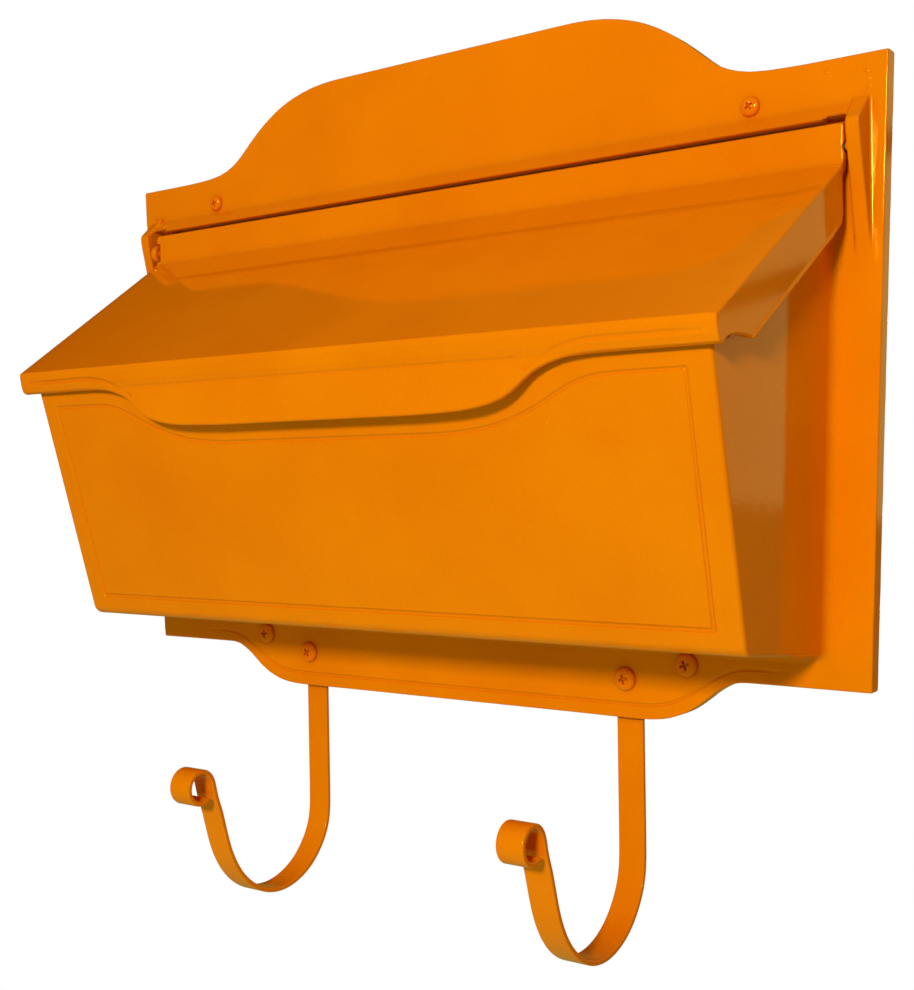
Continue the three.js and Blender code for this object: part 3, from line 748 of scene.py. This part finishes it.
def hook_piece(name, side):
    path = hook_path()
    # even spacing and light smoothing of the centre line
    seg = np.linalg.norm(np.diff(path, axis=0), axis=1)
    s = np.concatenate([[0], np.cumsum(seg)])
    t = np.arange(0, s[-1], 0.9)
    p = np.stack([np.interp(t, s, path[:, 0]), np.interp(t, s, path[:, 1])], 1)
    for _ in range(14):
        p[1:-1] = p[1:-1] * 0.5 + (p[:-2] + p[2:]) * 0.25
    tan = np.gradient(p, axis=0)
    tan /= np.linalg.norm(tan, axis=1)[:, None]
    nor = np.stack([-tan[:, 1], tan[:, 0]], 1)
    prof = rounded_rect(HOOK_W, HOOK_T, 0.62, 5)
    rings_p, rings_n, rings_s = [], [], []
    # rounded strap ends: the profile shrinks over the last part of a millimetre
    ease = [(0.0, 0.80), (0.12, 0.90), (0.35, 0.97), (0.62, 1.0)]
    verts = []
    m = len(prof)
    total = len(p)
    pa = np.array(prof)
    inset = np.minimum(1, 1)

    def ring(pt, nn, k):
        q = pa.copy()
        q[:, 0] = np.sign(q[:, 0]) * (np.abs(q[:, 0]) - (1 - k) * 1.1)
        q[:, 1] = q[:, 1] * k
        return np.stack([q[:, 0], pt[0] + nn[0] * q[:, 1], pt[1] + nn[1] * q[:, 1]], 1)

    for d, k in ease:
        verts.append(ring(p[0] + tan[0] * d - tan[0] * 0.0, nor[0], k))
    for i in range(1, total - 1):
        verts.append(ring(p[i], nor[i], 1.0))
    for d, k in reversed(ease):
        verts.append(ring(p[-1] - tan[-1] * d, nor[-1], k))
    v = np.concatenate(verts)
    v[:, 0] += side * HOOK_X
    n = len(verts)
    quads = []
    for i in range(n - 1):
        for j in range(m):
            k = (j + 1) % m
            quads.append((i * m + j, (i + 1) * m + j, (i + 1) * m + k, i * m + k))
    caps = [list(range(m)), list(range((n - 1) * m, n * m))[::-1]]
    me = make_mesh(name, to_frame(v), np.array(quads), caps)
    return finish_smooth(link(name, me))


def finish_smooth(o, angle=40):
    """Outward faces, smooth shading by angle and area-weighted normals."""
    import bmesh

    bm = bmesh.new()
    bm.from_mesh(o.data)
    bmesh.ops.recalc_face_normals(bm, faces=bm.faces)
    bm.to_mesh(o.data)
    bm.free()
    o.data.polygons.foreach_set("use_smooth", np.ones(len(o.data.polygons), bool))
    o.data.set_sharp_from_angle(angle=math.radians(angle))
    w = o.modifiers.new("weighted", "WEIGHTED_NORMAL")
    w.mode = "FACE_AREA_WITH_ANGLE"
    w.keep_sharp = True
    return o


def turned(name, profile, seg=96):
    """Solid of revolution about the hinge axis: profile is (x, radius), closed at both ends."""
    prof = [p for p in profile]
    rings = [p for p in prof if p[1] > 1e-6]
    verts, quads, ngons = [], [], []
    for x, r in rings:
        for k in range(seg):
            a = 2 * math.pi * k / seg
            verts.append((x, PIVOT_Y + r * math.cos(a), PIVOT_Z + r * math.sin(a)))
    for i in range(len(rings) - 1):
        for k in range(seg):
            l = (k + 1) % seg
            quads.append((i * seg + k, i * seg + l, (i + 1) * seg + l, (i + 1) * seg + k))
    ngons = [list(range(seg))[::-1], list(range((len(rings) - 1) * seg, len(rings) * seg))]
    me = make_mesh(name, to_frame(np.array(verts, float)), np.array(quads), ngons)
    return finish_smooth(link(name, me), 35)


def pin_profile(x0, x1, r, c=0.35):
    """Plain pin with chamfer-rounded ends, from x0 to x1 (x0 < x1)."""
    out = []
    for i in range(6):
        a = math.pi / 2 * i / 5
        out.append((x0 + c - c * math.cos(a), r - c + c * math.sin(a)))
    for i in range(6):
        a = math.pi / 2 * (1 - i / 5)
        out.append((x1 - c + c * math.cos(a), r - c + c * math.sin(a)))
    return out


def sheet(name, outer, holes, y0, y1, r):
    """Flat sheet with holes and lightly rounded edges."""
    steps = 4
    contours = [np.array(outer, float)] + [np.array(h, float) for h in holes]
    verts, quads, tri = [], [], []
    front, back = [], []

    def offset(c, d):
        a = np.roll(c, 1, 0)
        b = np.roll(c, -1, 0)
        t1 = (c - a) / np.linalg.norm(c - a, axis=1)[:, None]
        t2 = (b - c) / np.linalg.norm(b - c, axis=1)[:, None]
        n1 = np.stack([-t1[:, 1], t1[:, 0]], 1)
        n2 = np.stack([-t2[:, 1], t2[:, 0]], 1)
        k = d / (1 + (n1 * n2).sum(1))
        return c + (n1 + n2) * k[:, None]

    for idx, c in enumerate(contours):
        area = 0.5 * np.sum(c[:, 0] * np.roll(c[:, 1], -1) - np.roll(c[:, 0], -1) * c[:, 1])
        ccw = area > 0
        if (idx == 0) != ccw:
            c = c[::-1]
        rings = []
        for i in range(steps + 1):
            a = math.pi / 2 * i / steps
            rings.append((offset(c, r * (1 - math.sin(a))), y0 + r * (1 - math.cos(a))))
        for i in range(steps + 1):
            a = math.pi / 2 * (1 - i / steps)
            rings.append((offset(c, r * (1 - math.sin(a))), y1 - r * (1 - math.cos(a))))
        base = len(verts)
        m = len(c)
        for pts, y in rings:
            verts += [(q[0], y, q[1]) for q in pts]
        for i in range(len(rings) - 1):
            for j in range(m):
                k = (j + 1) % m
                quads.append((base + i * m + j, base + i * m + k, base + (i + 1) * m + k, base + (i + 1) * m + j))
        front.append([base + j for j in range(m)])
        back.append([base + (len(rings) - 1) * m + j for j in range(m)])
    for group, flip in ((front, False), (back, True)):
        flat = [i for g in group for i in g]
        loops = [[Vector((verts[i][0], verts[i][2], 0)) for i in g] for g in group]
        for t in tessellate_polygon(loops):
            f = [flat[k] for k in t]
            tri.append(f[::-1] if flip else f)
    me = make_mesh(name, to_frame(np.array(verts, float)), np.array(quads), tri)
    import bmesh

    bm = bmesh.new()
    bm.from_mesh(me)
    bmesh.ops.recalc_face_normals(bm, faces=bm.faces)
    bmesh.ops.dissolve_limit(bm, angle_limit=math.radians(0.1), use_dissolve_boundaries=False, verts=bm.verts, edges=bm.edges, delimit=set())
    bm.to_mesh(me)
    bm.free()
    return finish_smooth(link(name, me), 35)


def circle(cx, cz, r, n=64):
    return [(cx + r * math.cos(2 * math.pi * k / n), cz + r * math.sin(2 * math.pi * k / n)) for k in range(n)]


# ------------------------------------------------------------------ materials
def node(nt, kind, **inputs):
    n = nt.nodes.new(kind)
    for k, v in inputs.items():
        if k in n.inputs:
            n.inputs[k].default_value = v
        else:
            setattr(n, k, v)
    return n


def powder_coat(name, deep, light, peel=0.5, rough=0.075, grain=720.0):
    """Glossy coat over cast metal: orange-peel skin, faint mottling, thin dust specks, and painted shade: a darker
    red base colour in corners and gaps.
    """
    mat = bpy.data.materials.new(name)
    mat.use_nodes = True
    nt = mat.node_tree
    nt.nodes.clear()
    out = nt.nodes.new("ShaderNodeOutputMaterial")
    bsdf = nt.nodes.new("ShaderNodeBsdfPrincipled")
    nt.links.new(bsdf.outputs["BSDF"], out.inputs["Surface"])
    tc = nt.nodes.new("ShaderNodeTexCoord")
    vec = tc.outputs["Object"]

    cloud = nt.nodes.new("ShaderNodeTexNoise")
    cloud.inputs["Scale"].default_value = 16.0
    cloud.inputs["Detail"].default_value = 3.0
    cloud.inputs["Roughness"].default_value = 0.55
    nt.links.new(vec, cloud.inputs["Vector"])
    fine = nt.nodes.new("ShaderNodeTexNoise")
    fine.inputs["Scale"].default_value = grain * 1.6
    fine.inputs["Detail"].default_value = 1.0
    nt.links.new(vec, fine.inputs["Vector"])
    mixn = nt.nodes.new("ShaderNodeMath")
    mixn.operation = "MULTIPLY_ADD"
    mixn.inputs[1].default_value = 0.35
    nt.links.new(fine.outputs["Fac"], mixn.inputs[0])
    nt.links.new(cloud.outputs["Fac"], mixn.inputs[2])
    ramp = nt.nodes.new("ShaderNodeValToRGB")
    ramp.color_ramp.elements[0].position = 0.42
    ramp.color_ramp.elements[0].color = (*deep, 1)
    ramp.color_ramp.elements[1].position = 0.92
    ramp.color_ramp.elements[1].color = (*light, 1)
    nt.links.new(mixn.outputs[0], ramp.inputs["Fac"])

    # painted shade: an AO node mixes a darker red into the base colour in corners, gaps and recesses, where shade
    # falls
    ao = nt.nodes.new("ShaderNodeAmbientOcclusion")
    ao.inputs["Distance"].default_value = 0.004
    ao.samples = 4
    painted_shade_fac = nt.nodes.new("ShaderNodeMapRange")
    painted_shade_fac.inputs["From Min"].default_value = 0.35
    painted_shade_fac.inputs["From Max"].default_value = 0.95
    painted_shade_fac.inputs["To Min"].default_value = 0.0
    painted_shade_fac.inputs["To Max"].default_value = 1.0
    nt.links.new(ao.outputs["AO"], painted_shade_fac.inputs["Value"])
    painted_shade_mix = nt.nodes.new("ShaderNodeMix")
    painted_shade_mix.data_type = "RGBA"
    painted_shade_mix.inputs["A"].default_value = (deep[0] * 0.78, deep[1] * 0.62, 0.0, 1)
    nt.links.new(painted_shade_fac.outputs["Result"], painted_shade_mix.inputs["Factor"])
    nt.links.new(ramp.outputs["Color"], painted_shade_mix.inputs["B"])

    # dust specks under the clear skin
    vor = nt.nodes.new("ShaderNodeTexVoronoi")
    vor.inputs["Scale"].default_value = 95.0
    vor.inputs["Randomness"].default_value = 1.0
    nt.links.new(vec, vor.inputs["Vector"])
    speck = nt.nodes.new("ShaderNodeMapRange")
    speck.inputs["From Min"].default_value = 0.018
    speck.inputs["From Max"].default_value = 0.034
    speck.inputs["To Min"].default_value = 1.0
    speck.inputs["To Max"].default_value = 0.0
    nt.links.new(vor.outputs["Distance"], speck.inputs["Value"])
    pick = nt.nodes.new("ShaderNodeMath")
    pick.operation = "GREATER_THAN"
    pick.inputs[1].default_value = 0.80
    sep = nt.nodes.new("ShaderNodeSeparateColor")
    nt.links.new(vor.outputs["Color"], sep.inputs["Color"])
    nt.links.new(sep.outputs["Red"], pick.inputs[0])
    both = nt.nodes.new("ShaderNodeMath")
    both.operation = "MULTIPLY"
    nt.links.new(speck.outputs["Result"], both.inputs[0])
    nt.links.new(pick.outputs[0], both.inputs[1])
    half = nt.nodes.new("ShaderNodeMath")
    half.operation = "MULTIPLY"
    half.inputs[1].default_value = 0.30
    nt.links.new(both.outputs[0], half.inputs[0])
    dust = nt.nodes.new("ShaderNodeMix")
    dust.data_type = "RGBA"
    dust.inputs["B"].default_value = (1.0, 0.52, 0.16, 1)
    nt.links.new(half.outputs[0], dust.inputs["Factor"])
    nt.links.new(painted_shade_mix.outputs["Result"], dust.inputs["A"])
    nt.links.new(dust.outputs["Result"], bsdf.inputs["Base Color"])

    # orange-peel skin
    peel_n = nt.nodes.new("ShaderNodeTexNoise")
    peel_n.inputs["Scale"].default_value = grain
    peel_n.inputs["Detail"].default_value = 1.5
    peel_n.inputs["Roughness"].default_value = 0.5
    nt.links.new(vec, peel_n.inputs["Vector"])
    wave = nt.nodes.new("ShaderNodeTexNoise")
    wave.inputs["Scale"].default_value = grain * 0.22
    wave.inputs["Detail"].default_value = 1.0
    nt.links.new(vec, wave.inputs["Vector"])
    add = nt.nodes.new("ShaderNodeMath")
    add.operation = "MULTIPLY_ADD"
    add.inputs[1].default_value = 2.0
    nt.links.new(wave.outputs["Fac"], add.inputs[0])
    nt.links.new(peel_n.outputs["Fac"], add.inputs[2])
    add2 = nt.nodes.new("ShaderNodeMath")
    add2.operation = "MULTIPLY_ADD"
    add2.inputs[1].default_value = 1.5
    nt.links.new(both.outputs[0], add2.inputs[0])
    nt.links.new(add.outputs[0], add2.inputs[2])
    bump = nt.nodes.new("ShaderNodeBump")
    bump.inputs["Strength"].default_value = 1.0
    bump.inputs["Distance"].default_value = 0.00005 * peel
    nt.links.new(add2.outputs[0], bump.inputs["Height"])
    nt.links.new(bump.outputs["Normal"], bsdf.inputs["Normal"])
    rr = nt.nodes.new("ShaderNodeMapRange")
    rr.inputs["To Min"].default_value = rough * 0.85
    rr.inputs["To Max"].default_value = rough * 1.15
    nt.links.new(cloud.outputs["Fac"], rr.inputs["Value"])
    nt.links.new(rr.outputs["Result"], bsdf.inputs["Roughness"])
    bsdf.inputs["Metallic"].default_value = 0.0
    bsdf.inputs["IOR"].default_value = 1.5
    bsdf.inputs["Specular Tint"].default_value = (1.0, 0.62, 0.16, 1)
    return mat


def bare_steel(name):
    mat = bpy.data.materials.new(name)
    mat.use_nodes = True
    nt = mat.node_tree
    bsdf = nt.nodes["Principled BSDF"]
    tc = nt.nodes.new("ShaderNodeTexCoord")
    mp = nt.nodes.new("ShaderNodeMapping")
    mp.inputs["Scale"].default_value = (60.0, 900.0, 900.0)
    nt.links.new(tc.outputs["Object"], mp.inputs["Vector"])
    nz = nt.nodes.new("ShaderNodeTexNoise")
    nz.inputs["Scale"].default_value = 2.0
    nz.inputs["Detail"].default_value = 4.0
    nt.links.new(mp.outputs["Vector"], nz.inputs["Vector"])
    ramp = nt.nodes.new("ShaderNodeValToRGB")
    ramp.color_ramp.elements[0].color = (0.15, 0.10, 0.06, 1)
    ramp.color_ramp.elements[1].color = (0.28, 0.20, 0.13, 1)
    nt.links.new(nz.outputs["Fac"], ramp.inputs["Fac"])
    nt.links.new(ramp.outputs["Color"], bsdf.inputs["Base Color"])
    rr = nt.nodes.new("ShaderNodeMapRange")
    rr.inputs["To Min"].default_value = 0.22
    rr.inputs["To Max"].default_value = 0.42
    nt.links.new(nz.outputs["Fac"], rr.inputs["Value"])
    nt.links.new(rr.outputs["Result"], bsdf.inputs["Roughness"])
    bsdf.inputs["Metallic"].default_value = 1.0
    bump = nt.nodes.new("ShaderNodeBump")
    bump.inputs["Distance"].default_value = 0.00001
    nt.links.new(nz.outputs["Fac"], bump.inputs["Height"])
    nt.links.new(bump.outputs["Normal"], bsdf.inputs["Normal"])
    return mat


DEEP, LIGHT = (0.83, 0.172, 0.0004), (0.91, 0.21, 0.0008)
MAT_BODY = powder_coat("coat_body", DEEP, LIGHT, peel=0.3)
MAT_LID = powder_coat("coat_lid", DEEP, LIGHT, peel=0.1, rough=0.06)
MAT_HOOK = powder_coat("coat_hook", DEEP, LIGHT, peel=0.4)
MAT_SCREW = powder_coat("coat_screw", (0.86, 0.15, 0.0004), (0.92, 0.19, 0.001), peel=0.25, rough=0.07)
MAT_PANEL = powder_coat("coat_panel", (0.72, 0.15, 0.0005), (0.80, 0.18, 0.001), rough=0.34)
MAT_PIN = bare_steel("pin_steel")


def place(o, mat, node_name, body):
    o.data.materials.clear()
    o.data.materials.append(mat)
    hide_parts(node_name)
    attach(o, body)
    return o


# ------------------------------------------------------------------ pieces
H = 1.35
body = sdf_piece("body_shell", body_sdf, (-202, -101, -257), (202, 9.5, 39), H, body_near)
place(body, MAT_BODY, "body_casting", "body")
lid = sdf_piece("lid_shell", lid_sdf, (-189, -101.2, -133.5), (189, 2.5, -23), 1.2, lid_near, faces=130000)
place(lid, MAT_LID, "lid", "lid")

for k, side in (("left", -1), ("right", 1)):
    o = hook_piece(f"hook_strap_{k}", side)
    place(o, MAT_HOOK, f"hook_{k}", "body")

TURN = {
    "panel_screw_top_left": 0.30, "panel_screw_top_right": 0.55, "panel_screw_bottom_left": 0.10,
    "panel_screw_bottom_right": 0.35, "hook_screw_left": 0.62, "hook_screw_right": 0.22,
}
SCREW_OBJECTS = []
for name, sx, sz, hr, sr, into in SCREWS:
    end = RIM_DEPTH - 0.4 if into == "panel" else HOOK_BACK + HOOK_T / 2 - 0.1
    f = screw_sdf(hr, sr, end, TURN[name])
    o = small_sdf_piece(
        name + "_head", f, (-hr - 0.6, -hr * 0.56 - 0.7, -hr - 0.6), (hr + 0.6, end + 0.6, hr + 0.6),
        0.2, (sx, sz),
    )
    place(o, MAT_SCREW, name, "body")
    SCREW_OBJECTS.append(o)

o = turned("hinge_pin_plain", pin_profile(174.5, 190.3, 2.0))
place(o, MAT_PIN, "hinge_pin_right", "body")
collar = [
    (-190.3, 1.65), (-190.2, 1.85), (-189.95, 2.0), (-186.5, 2.0), (-186.5, 4.0), (-186.42, 4.35), (-186.2, 4.6),
    (-184.2, 4.6), (-183.7, 4.5), (-183.4, 4.2), (-183.25, 3.7), (-183.2, 3.0), (-183.2, 2.0), (-174.85, 2.0),
    (-174.6, 1.85), (-174.5, 1.65),
]
o = turned("hinge_pin_collared", collar)
place(o, MAT_LID, "hinge_pin_left", "body")

# back panel sheet
quad = [(-189.8, -5.2), (-182.6, -230.2)]
outer = [(-189.8, -5.2), (-182.6, -229.9)]
pts = []


def panel_outline():
    r = 7.0
    bottom_z = -230.2
    out = [(189.8, -5.2), (-189.8, -5.2), (-182.6, bottom_z)]
    for cx in (-115.8, 115.8):
        a = math.asin(min(1, (-229.9 - bottom_z) / r))
        start, stop = math.pi + a, 2 * math.pi - a
        for i in range(33):
            t = start + (stop - start) * i / 32
            out.append((cx + r * math.cos(t), -229.9 + r * math.sin(t)))
        if cx < 0:
            for s in (-1, 1):
                c = s * HOOK_X
                out += [(c - 8.5, bottom_z), (c - 8.5, -227.0), (c + 8.5, -227.0), (c + 8.5, bottom_z)]
    out.append((182.6, bottom_z))
    return fillet_polygon(out, [3.0, 3.0, 3.0] + [0.0] * (len(out) - 4) + [3.0], 6)


holes = [circle(x, z, 3.5) for x in (-112, 112) for z in (-70, -146)]
for name, sx, sz, hr, sr, into in SCREWS:
    if into == "panel":
        holes.append(circle(sx, sz, sr + 0.12, 40))
o = sheet("back_panel_sheet", panel_outline(), holes, RIM_DEPTH - 2.0, RIM_DEPTH, 0.35)
place(o, MAT_PANEL, "back_panel", "body")

# ------------------------------------------------------------------ stage, light and camera
floor_me = bpy.data.meshes.new("floor")
S = 12.0
FZ = CAD_LO.z - 0.62
floor_me.from_pydata([(-S, -S, FZ), (S, -S, FZ), (S, S, FZ), (-S, S, FZ)], [], [(0, 1, 2, 3)])
floor = link("floor", floor_me)
fm = bpy.data.materials.new("floor_pale")
fm.use_nodes = True
ft = fm.node_tree
fb = ft.nodes["Principled BSDF"]
fb.inputs["Base Color"].default_value = (0.86, 0.86, 0.85, 1)
fb.inputs["Roughness"].default_value = 0.9
fe = ft.nodes.new("ShaderNodeEmission")
fe.inputs["Color"].default_value = (1, 1, 1, 1)
fe.inputs["Strength"].default_value = 1.0
fl = ft.nodes.new("ShaderNodeLightPath")
fx = ft.nodes.new("ShaderNodeMixShader")
ft.links.new(fl.outputs["Is Camera Ray"], fx.inputs["Fac"])
ft.links.new(fb.outputs["BSDF"], fx.inputs[1])
ft.links.new(fe.outputs["Emission"], fx.inputs[2])
ft.links.new(fx.outputs["Shader"], ft.nodes["Material Output"].inputs["Surface"])
floor.data.materials.append(fm)

# studio surroundings: (direction, inner half-angle, outer half-angle, colour, strength)
BASE = (0.275, 0.235, 0.032)
GLOWS = [
    ((0.95, -0.30, 0.0), 20, 62, (-1.0, -0.95, -0.05), 0.24),
    ((0.50, 0.86, 0.08), 12, 30, (1.0, 0.84, 0.30), 0.68),
    ((-0.80, 0.36, 0.50), 6, 36, (-1.0, -0.86, -0.12), 0.25),
    ((0.48, 0.51, 0.72), 8, 26, (0.9, 0.75, 0.05), 0.22),
    ((-0.50, 0.45, 0.74), 4, 26, (0.7, 1.0, 0.05), 0.05),
]
world = bpy.data.worlds.new("studio")
bpy.context.scene.world = world
world.use_nodes = True
wn = world.node_tree
wn.nodes.clear()
wout = wn.nodes.new("ShaderNodeOutputWorld")
wtc = wn.nodes.new("ShaderNodeTexCoord")
total = None
for direction, inner, outer_angle, colour, strength in GLOWS:
    d = Vector(direction).normalized()
    dot = wn.nodes.new("ShaderNodeVectorMath")
    dot.operation = "DOT_PRODUCT"
    dot.inputs[1].default_value = d
    wn.links.new(wtc.outputs["Generated"], dot.inputs[0])
    mr = wn.nodes.new("ShaderNodeMapRange")
    mr.interpolation_type = "SMOOTHSTEP"
    mr.inputs["From Min"].default_value = math.cos(math.radians(outer_angle))
    mr.inputs["From Max"].default_value = math.cos(math.radians(inner))
    mr.inputs["To Min"].default_value = 0.0
    mr.inputs["To Max"].default_value = strength
    wn.links.new(dot.outputs["Value"], mr.inputs["Value"])
    sc = wn.nodes.new("ShaderNodeVectorMath")
    sc.operation = "SCALE"
    sc.inputs[0].default_value = colour
    wn.links.new(mr.outputs["Result"], sc.inputs["Scale"])
    if total is None:
        total = wn.nodes.new("ShaderNodeVectorMath")
        total.operation = "ADD"
        total.inputs[0].default_value = BASE
        wn.links.new(sc.outputs[0], total.inputs[1])
    else:
        nxt = wn.nodes.new("ShaderNodeVectorMath")
        nxt.operation = "ADD"
        wn.links.new(total.outputs[0], nxt.inputs[0])
        wn.links.new(sc.outputs[0], nxt.inputs[1])
        total = nxt
# a darker rail behind on the right, which the lid's cheek mirrors
wsep = wn.nodes.new("ShaderNodeSeparateXYZ")
wn.links.new(wtc.outputs["Generated"], wsep.inputs[0])
dist = wn.nodes.new("ShaderNodeMath")
dist.operation = "SUBTRACT"
lean = wn.nodes.new("ShaderNodeMath")
lean.operation = "MULTIPLY_ADD"
lean.inputs[1].default_value = 0.31
wn.links.new(wsep.outputs["X"], lean.inputs[0])
wn.links.new(wsep.outputs["Z"], lean.inputs[2])
dist.inputs[1].default_value = 0.2950
wn.links.new(lean.outputs[0], dist.inputs[0])
dabs = wn.nodes.new("ShaderNodeMath")
dabs.operation = "ABSOLUTE"
wn.links.new(dist.outputs[0], dabs.inputs[0])
rail = wn.nodes.new("ShaderNodeMapRange")
rail.interpolation_type = "SMOOTHSTEP"
rail.inputs["From Min"].default_value = 0.006
rail.inputs["From Max"].default_value = 0.010
rail.inputs["To Min"].default_value = 0.0
rail.inputs["To Max"].default_value = 1.0
wn.links.new(dabs.outputs[0], rail.inputs["Value"])
gate = wn.nodes.new("ShaderNodeMath")
gate.operation = "GREATER_THAN"
gate.inputs[1].default_value = 0.15
wn.links.new(wsep.outputs["X"], gate.inputs[0])
gmix = wn.nodes.new("ShaderNodeMix")
gmix.inputs["A"].default_value = 1.0
wn.links.new(gate.outputs[0], gmix.inputs["Factor"])
wn.links.new(rail.outputs["Result"], gmix.inputs["B"])
railed = wn.nodes.new("ShaderNodeVectorMath")
railed.operation = "SCALE"
wn.links.new(total.outputs[0], railed.inputs[0])
wn.links.new(gmix.outputs["Result"], railed.inputs["Scale"])
bg = wn.nodes.new("ShaderNodeBackground")
bg.inputs["Strength"].default_value = 1.0
wn.links.new(railed.outputs[0], bg.inputs["Color"])
bgc = wn.nodes.new("ShaderNodeBackground")
bgc.inputs["Color"].default_value = (1, 1, 1, 1)
bgc.inputs["Strength"].default_value = 1.0
lp = wn.nodes.new("ShaderNodeLightPath")
mx = wn.nodes.new("ShaderNodeMixShader")
wn.links.new(lp.outputs["Is Camera Ray"], mx.inputs["Fac"])
wn.links.new(bg.outputs[0], mx.inputs[1])
wn.links.new(bgc.outputs[0], mx.inputs[2])
wn.links.new(mx.outputs[0], wout.inputs["Surface"])


def area(name, loc, target, size, power, color=(1, 1, 1)):
    d = bpy.data.lights.new(name, "AREA")
    d.shape = "RECTANGLE"
    d.size, d.size_y = size
    d.energy = power
    d.color = color
    o = bpy.data.objects.new(name, d)
    bpy.context.scene.collection.objects.link(o)
    o.location = loc
    o.rotation_mode = "QUATERNION"
    o.rotation_quaternion = (Vector(target) - Vector(loc)).to_track_quat("-Z", "Y")
    return o


area("key", (0.45, -1.37, 0.37), (0, 0, 0), (0.22, 0.17), 16.5, (0.93, 0.97, 0.4))
# small sources that only the screw heads reflect
heads = bpy.data.collections.new("screw_heads")
for o in SCREW_OBJECTS:
    heads.objects.link(o)
for name, loc, power in (("glint_a", (-0.30, -1.15, 0.62), 7.0), ("glint_b", (0.95, -1.0, 0.60), 8.0), ("glint_c", (0.2, -0.9, -0.95), 3.0)):
    o = area(name, loc, (0, 0, 0), (0.06, 0.06), power)
    o.visible_diffuse = False
    o.light_linking.receiver_collection = heads
# soft yellow-green bounce from the pale floor in front, strongest on the nearest faces
o = area("bounce", (0.06, -0.62, -0.30), (0.0, -0.05, -0.02), (0.30, 0.20), 0.74, (0.14, 1.0, 0.0))
o.visible_glossy = False

yaw, pitch, roll, focal = 0.6329534555, -0.0155412939, -0.0158500140, 1389.74
cam_pos = np.array([[371.174, -501.813, -151.843]])
cx, cy, cz = to_frame(cam_pos)[0]
fwd = Vector((-math.sin(yaw) * math.cos(pitch), math.cos(yaw) * math.cos(pitch), math.sin(pitch)))
right = Vector((math.cos(yaw), math.sin(yaw), 0))
up = right.cross(fwd)
c, s = math.cos(roll), math.sin(roll)
r2 = right * c + up * s
u2 = right * -s + up * c
cam_data = bpy.data.cameras.new("camera")
cam = bpy.data.objects.new("camera", cam_data)
bpy.context.scene.collection.objects.link(cam)
cam.matrix_world = Matrix((
    (r2.x, u2.x, -fwd.x, cx), (r2.y, u2.y, -fwd.y, cy), (r2.z, u2.z, -fwd.z, cz), (0, 0, 0, 1),
))
cam_data.sensor_width = 36.0
cam_data.lens = focal / 990.0 * 36.0
cam_data.shift_x = -0.2755 / 990.0
cam_data.shift_y = 0.19 / 990.0
cam_data.clip_start, cam_data.clip_end = 0.01, 60.0
bpy.context.scene.camera = cam

bpy.context.scene.view_settings.view_transform = "Standard"
bpy.context.scene.view_settings.look = "None"
bpy.context.scene.view_settings.exposure = 0.0
bpy.context.scene.view_settings.gamma = 1.0
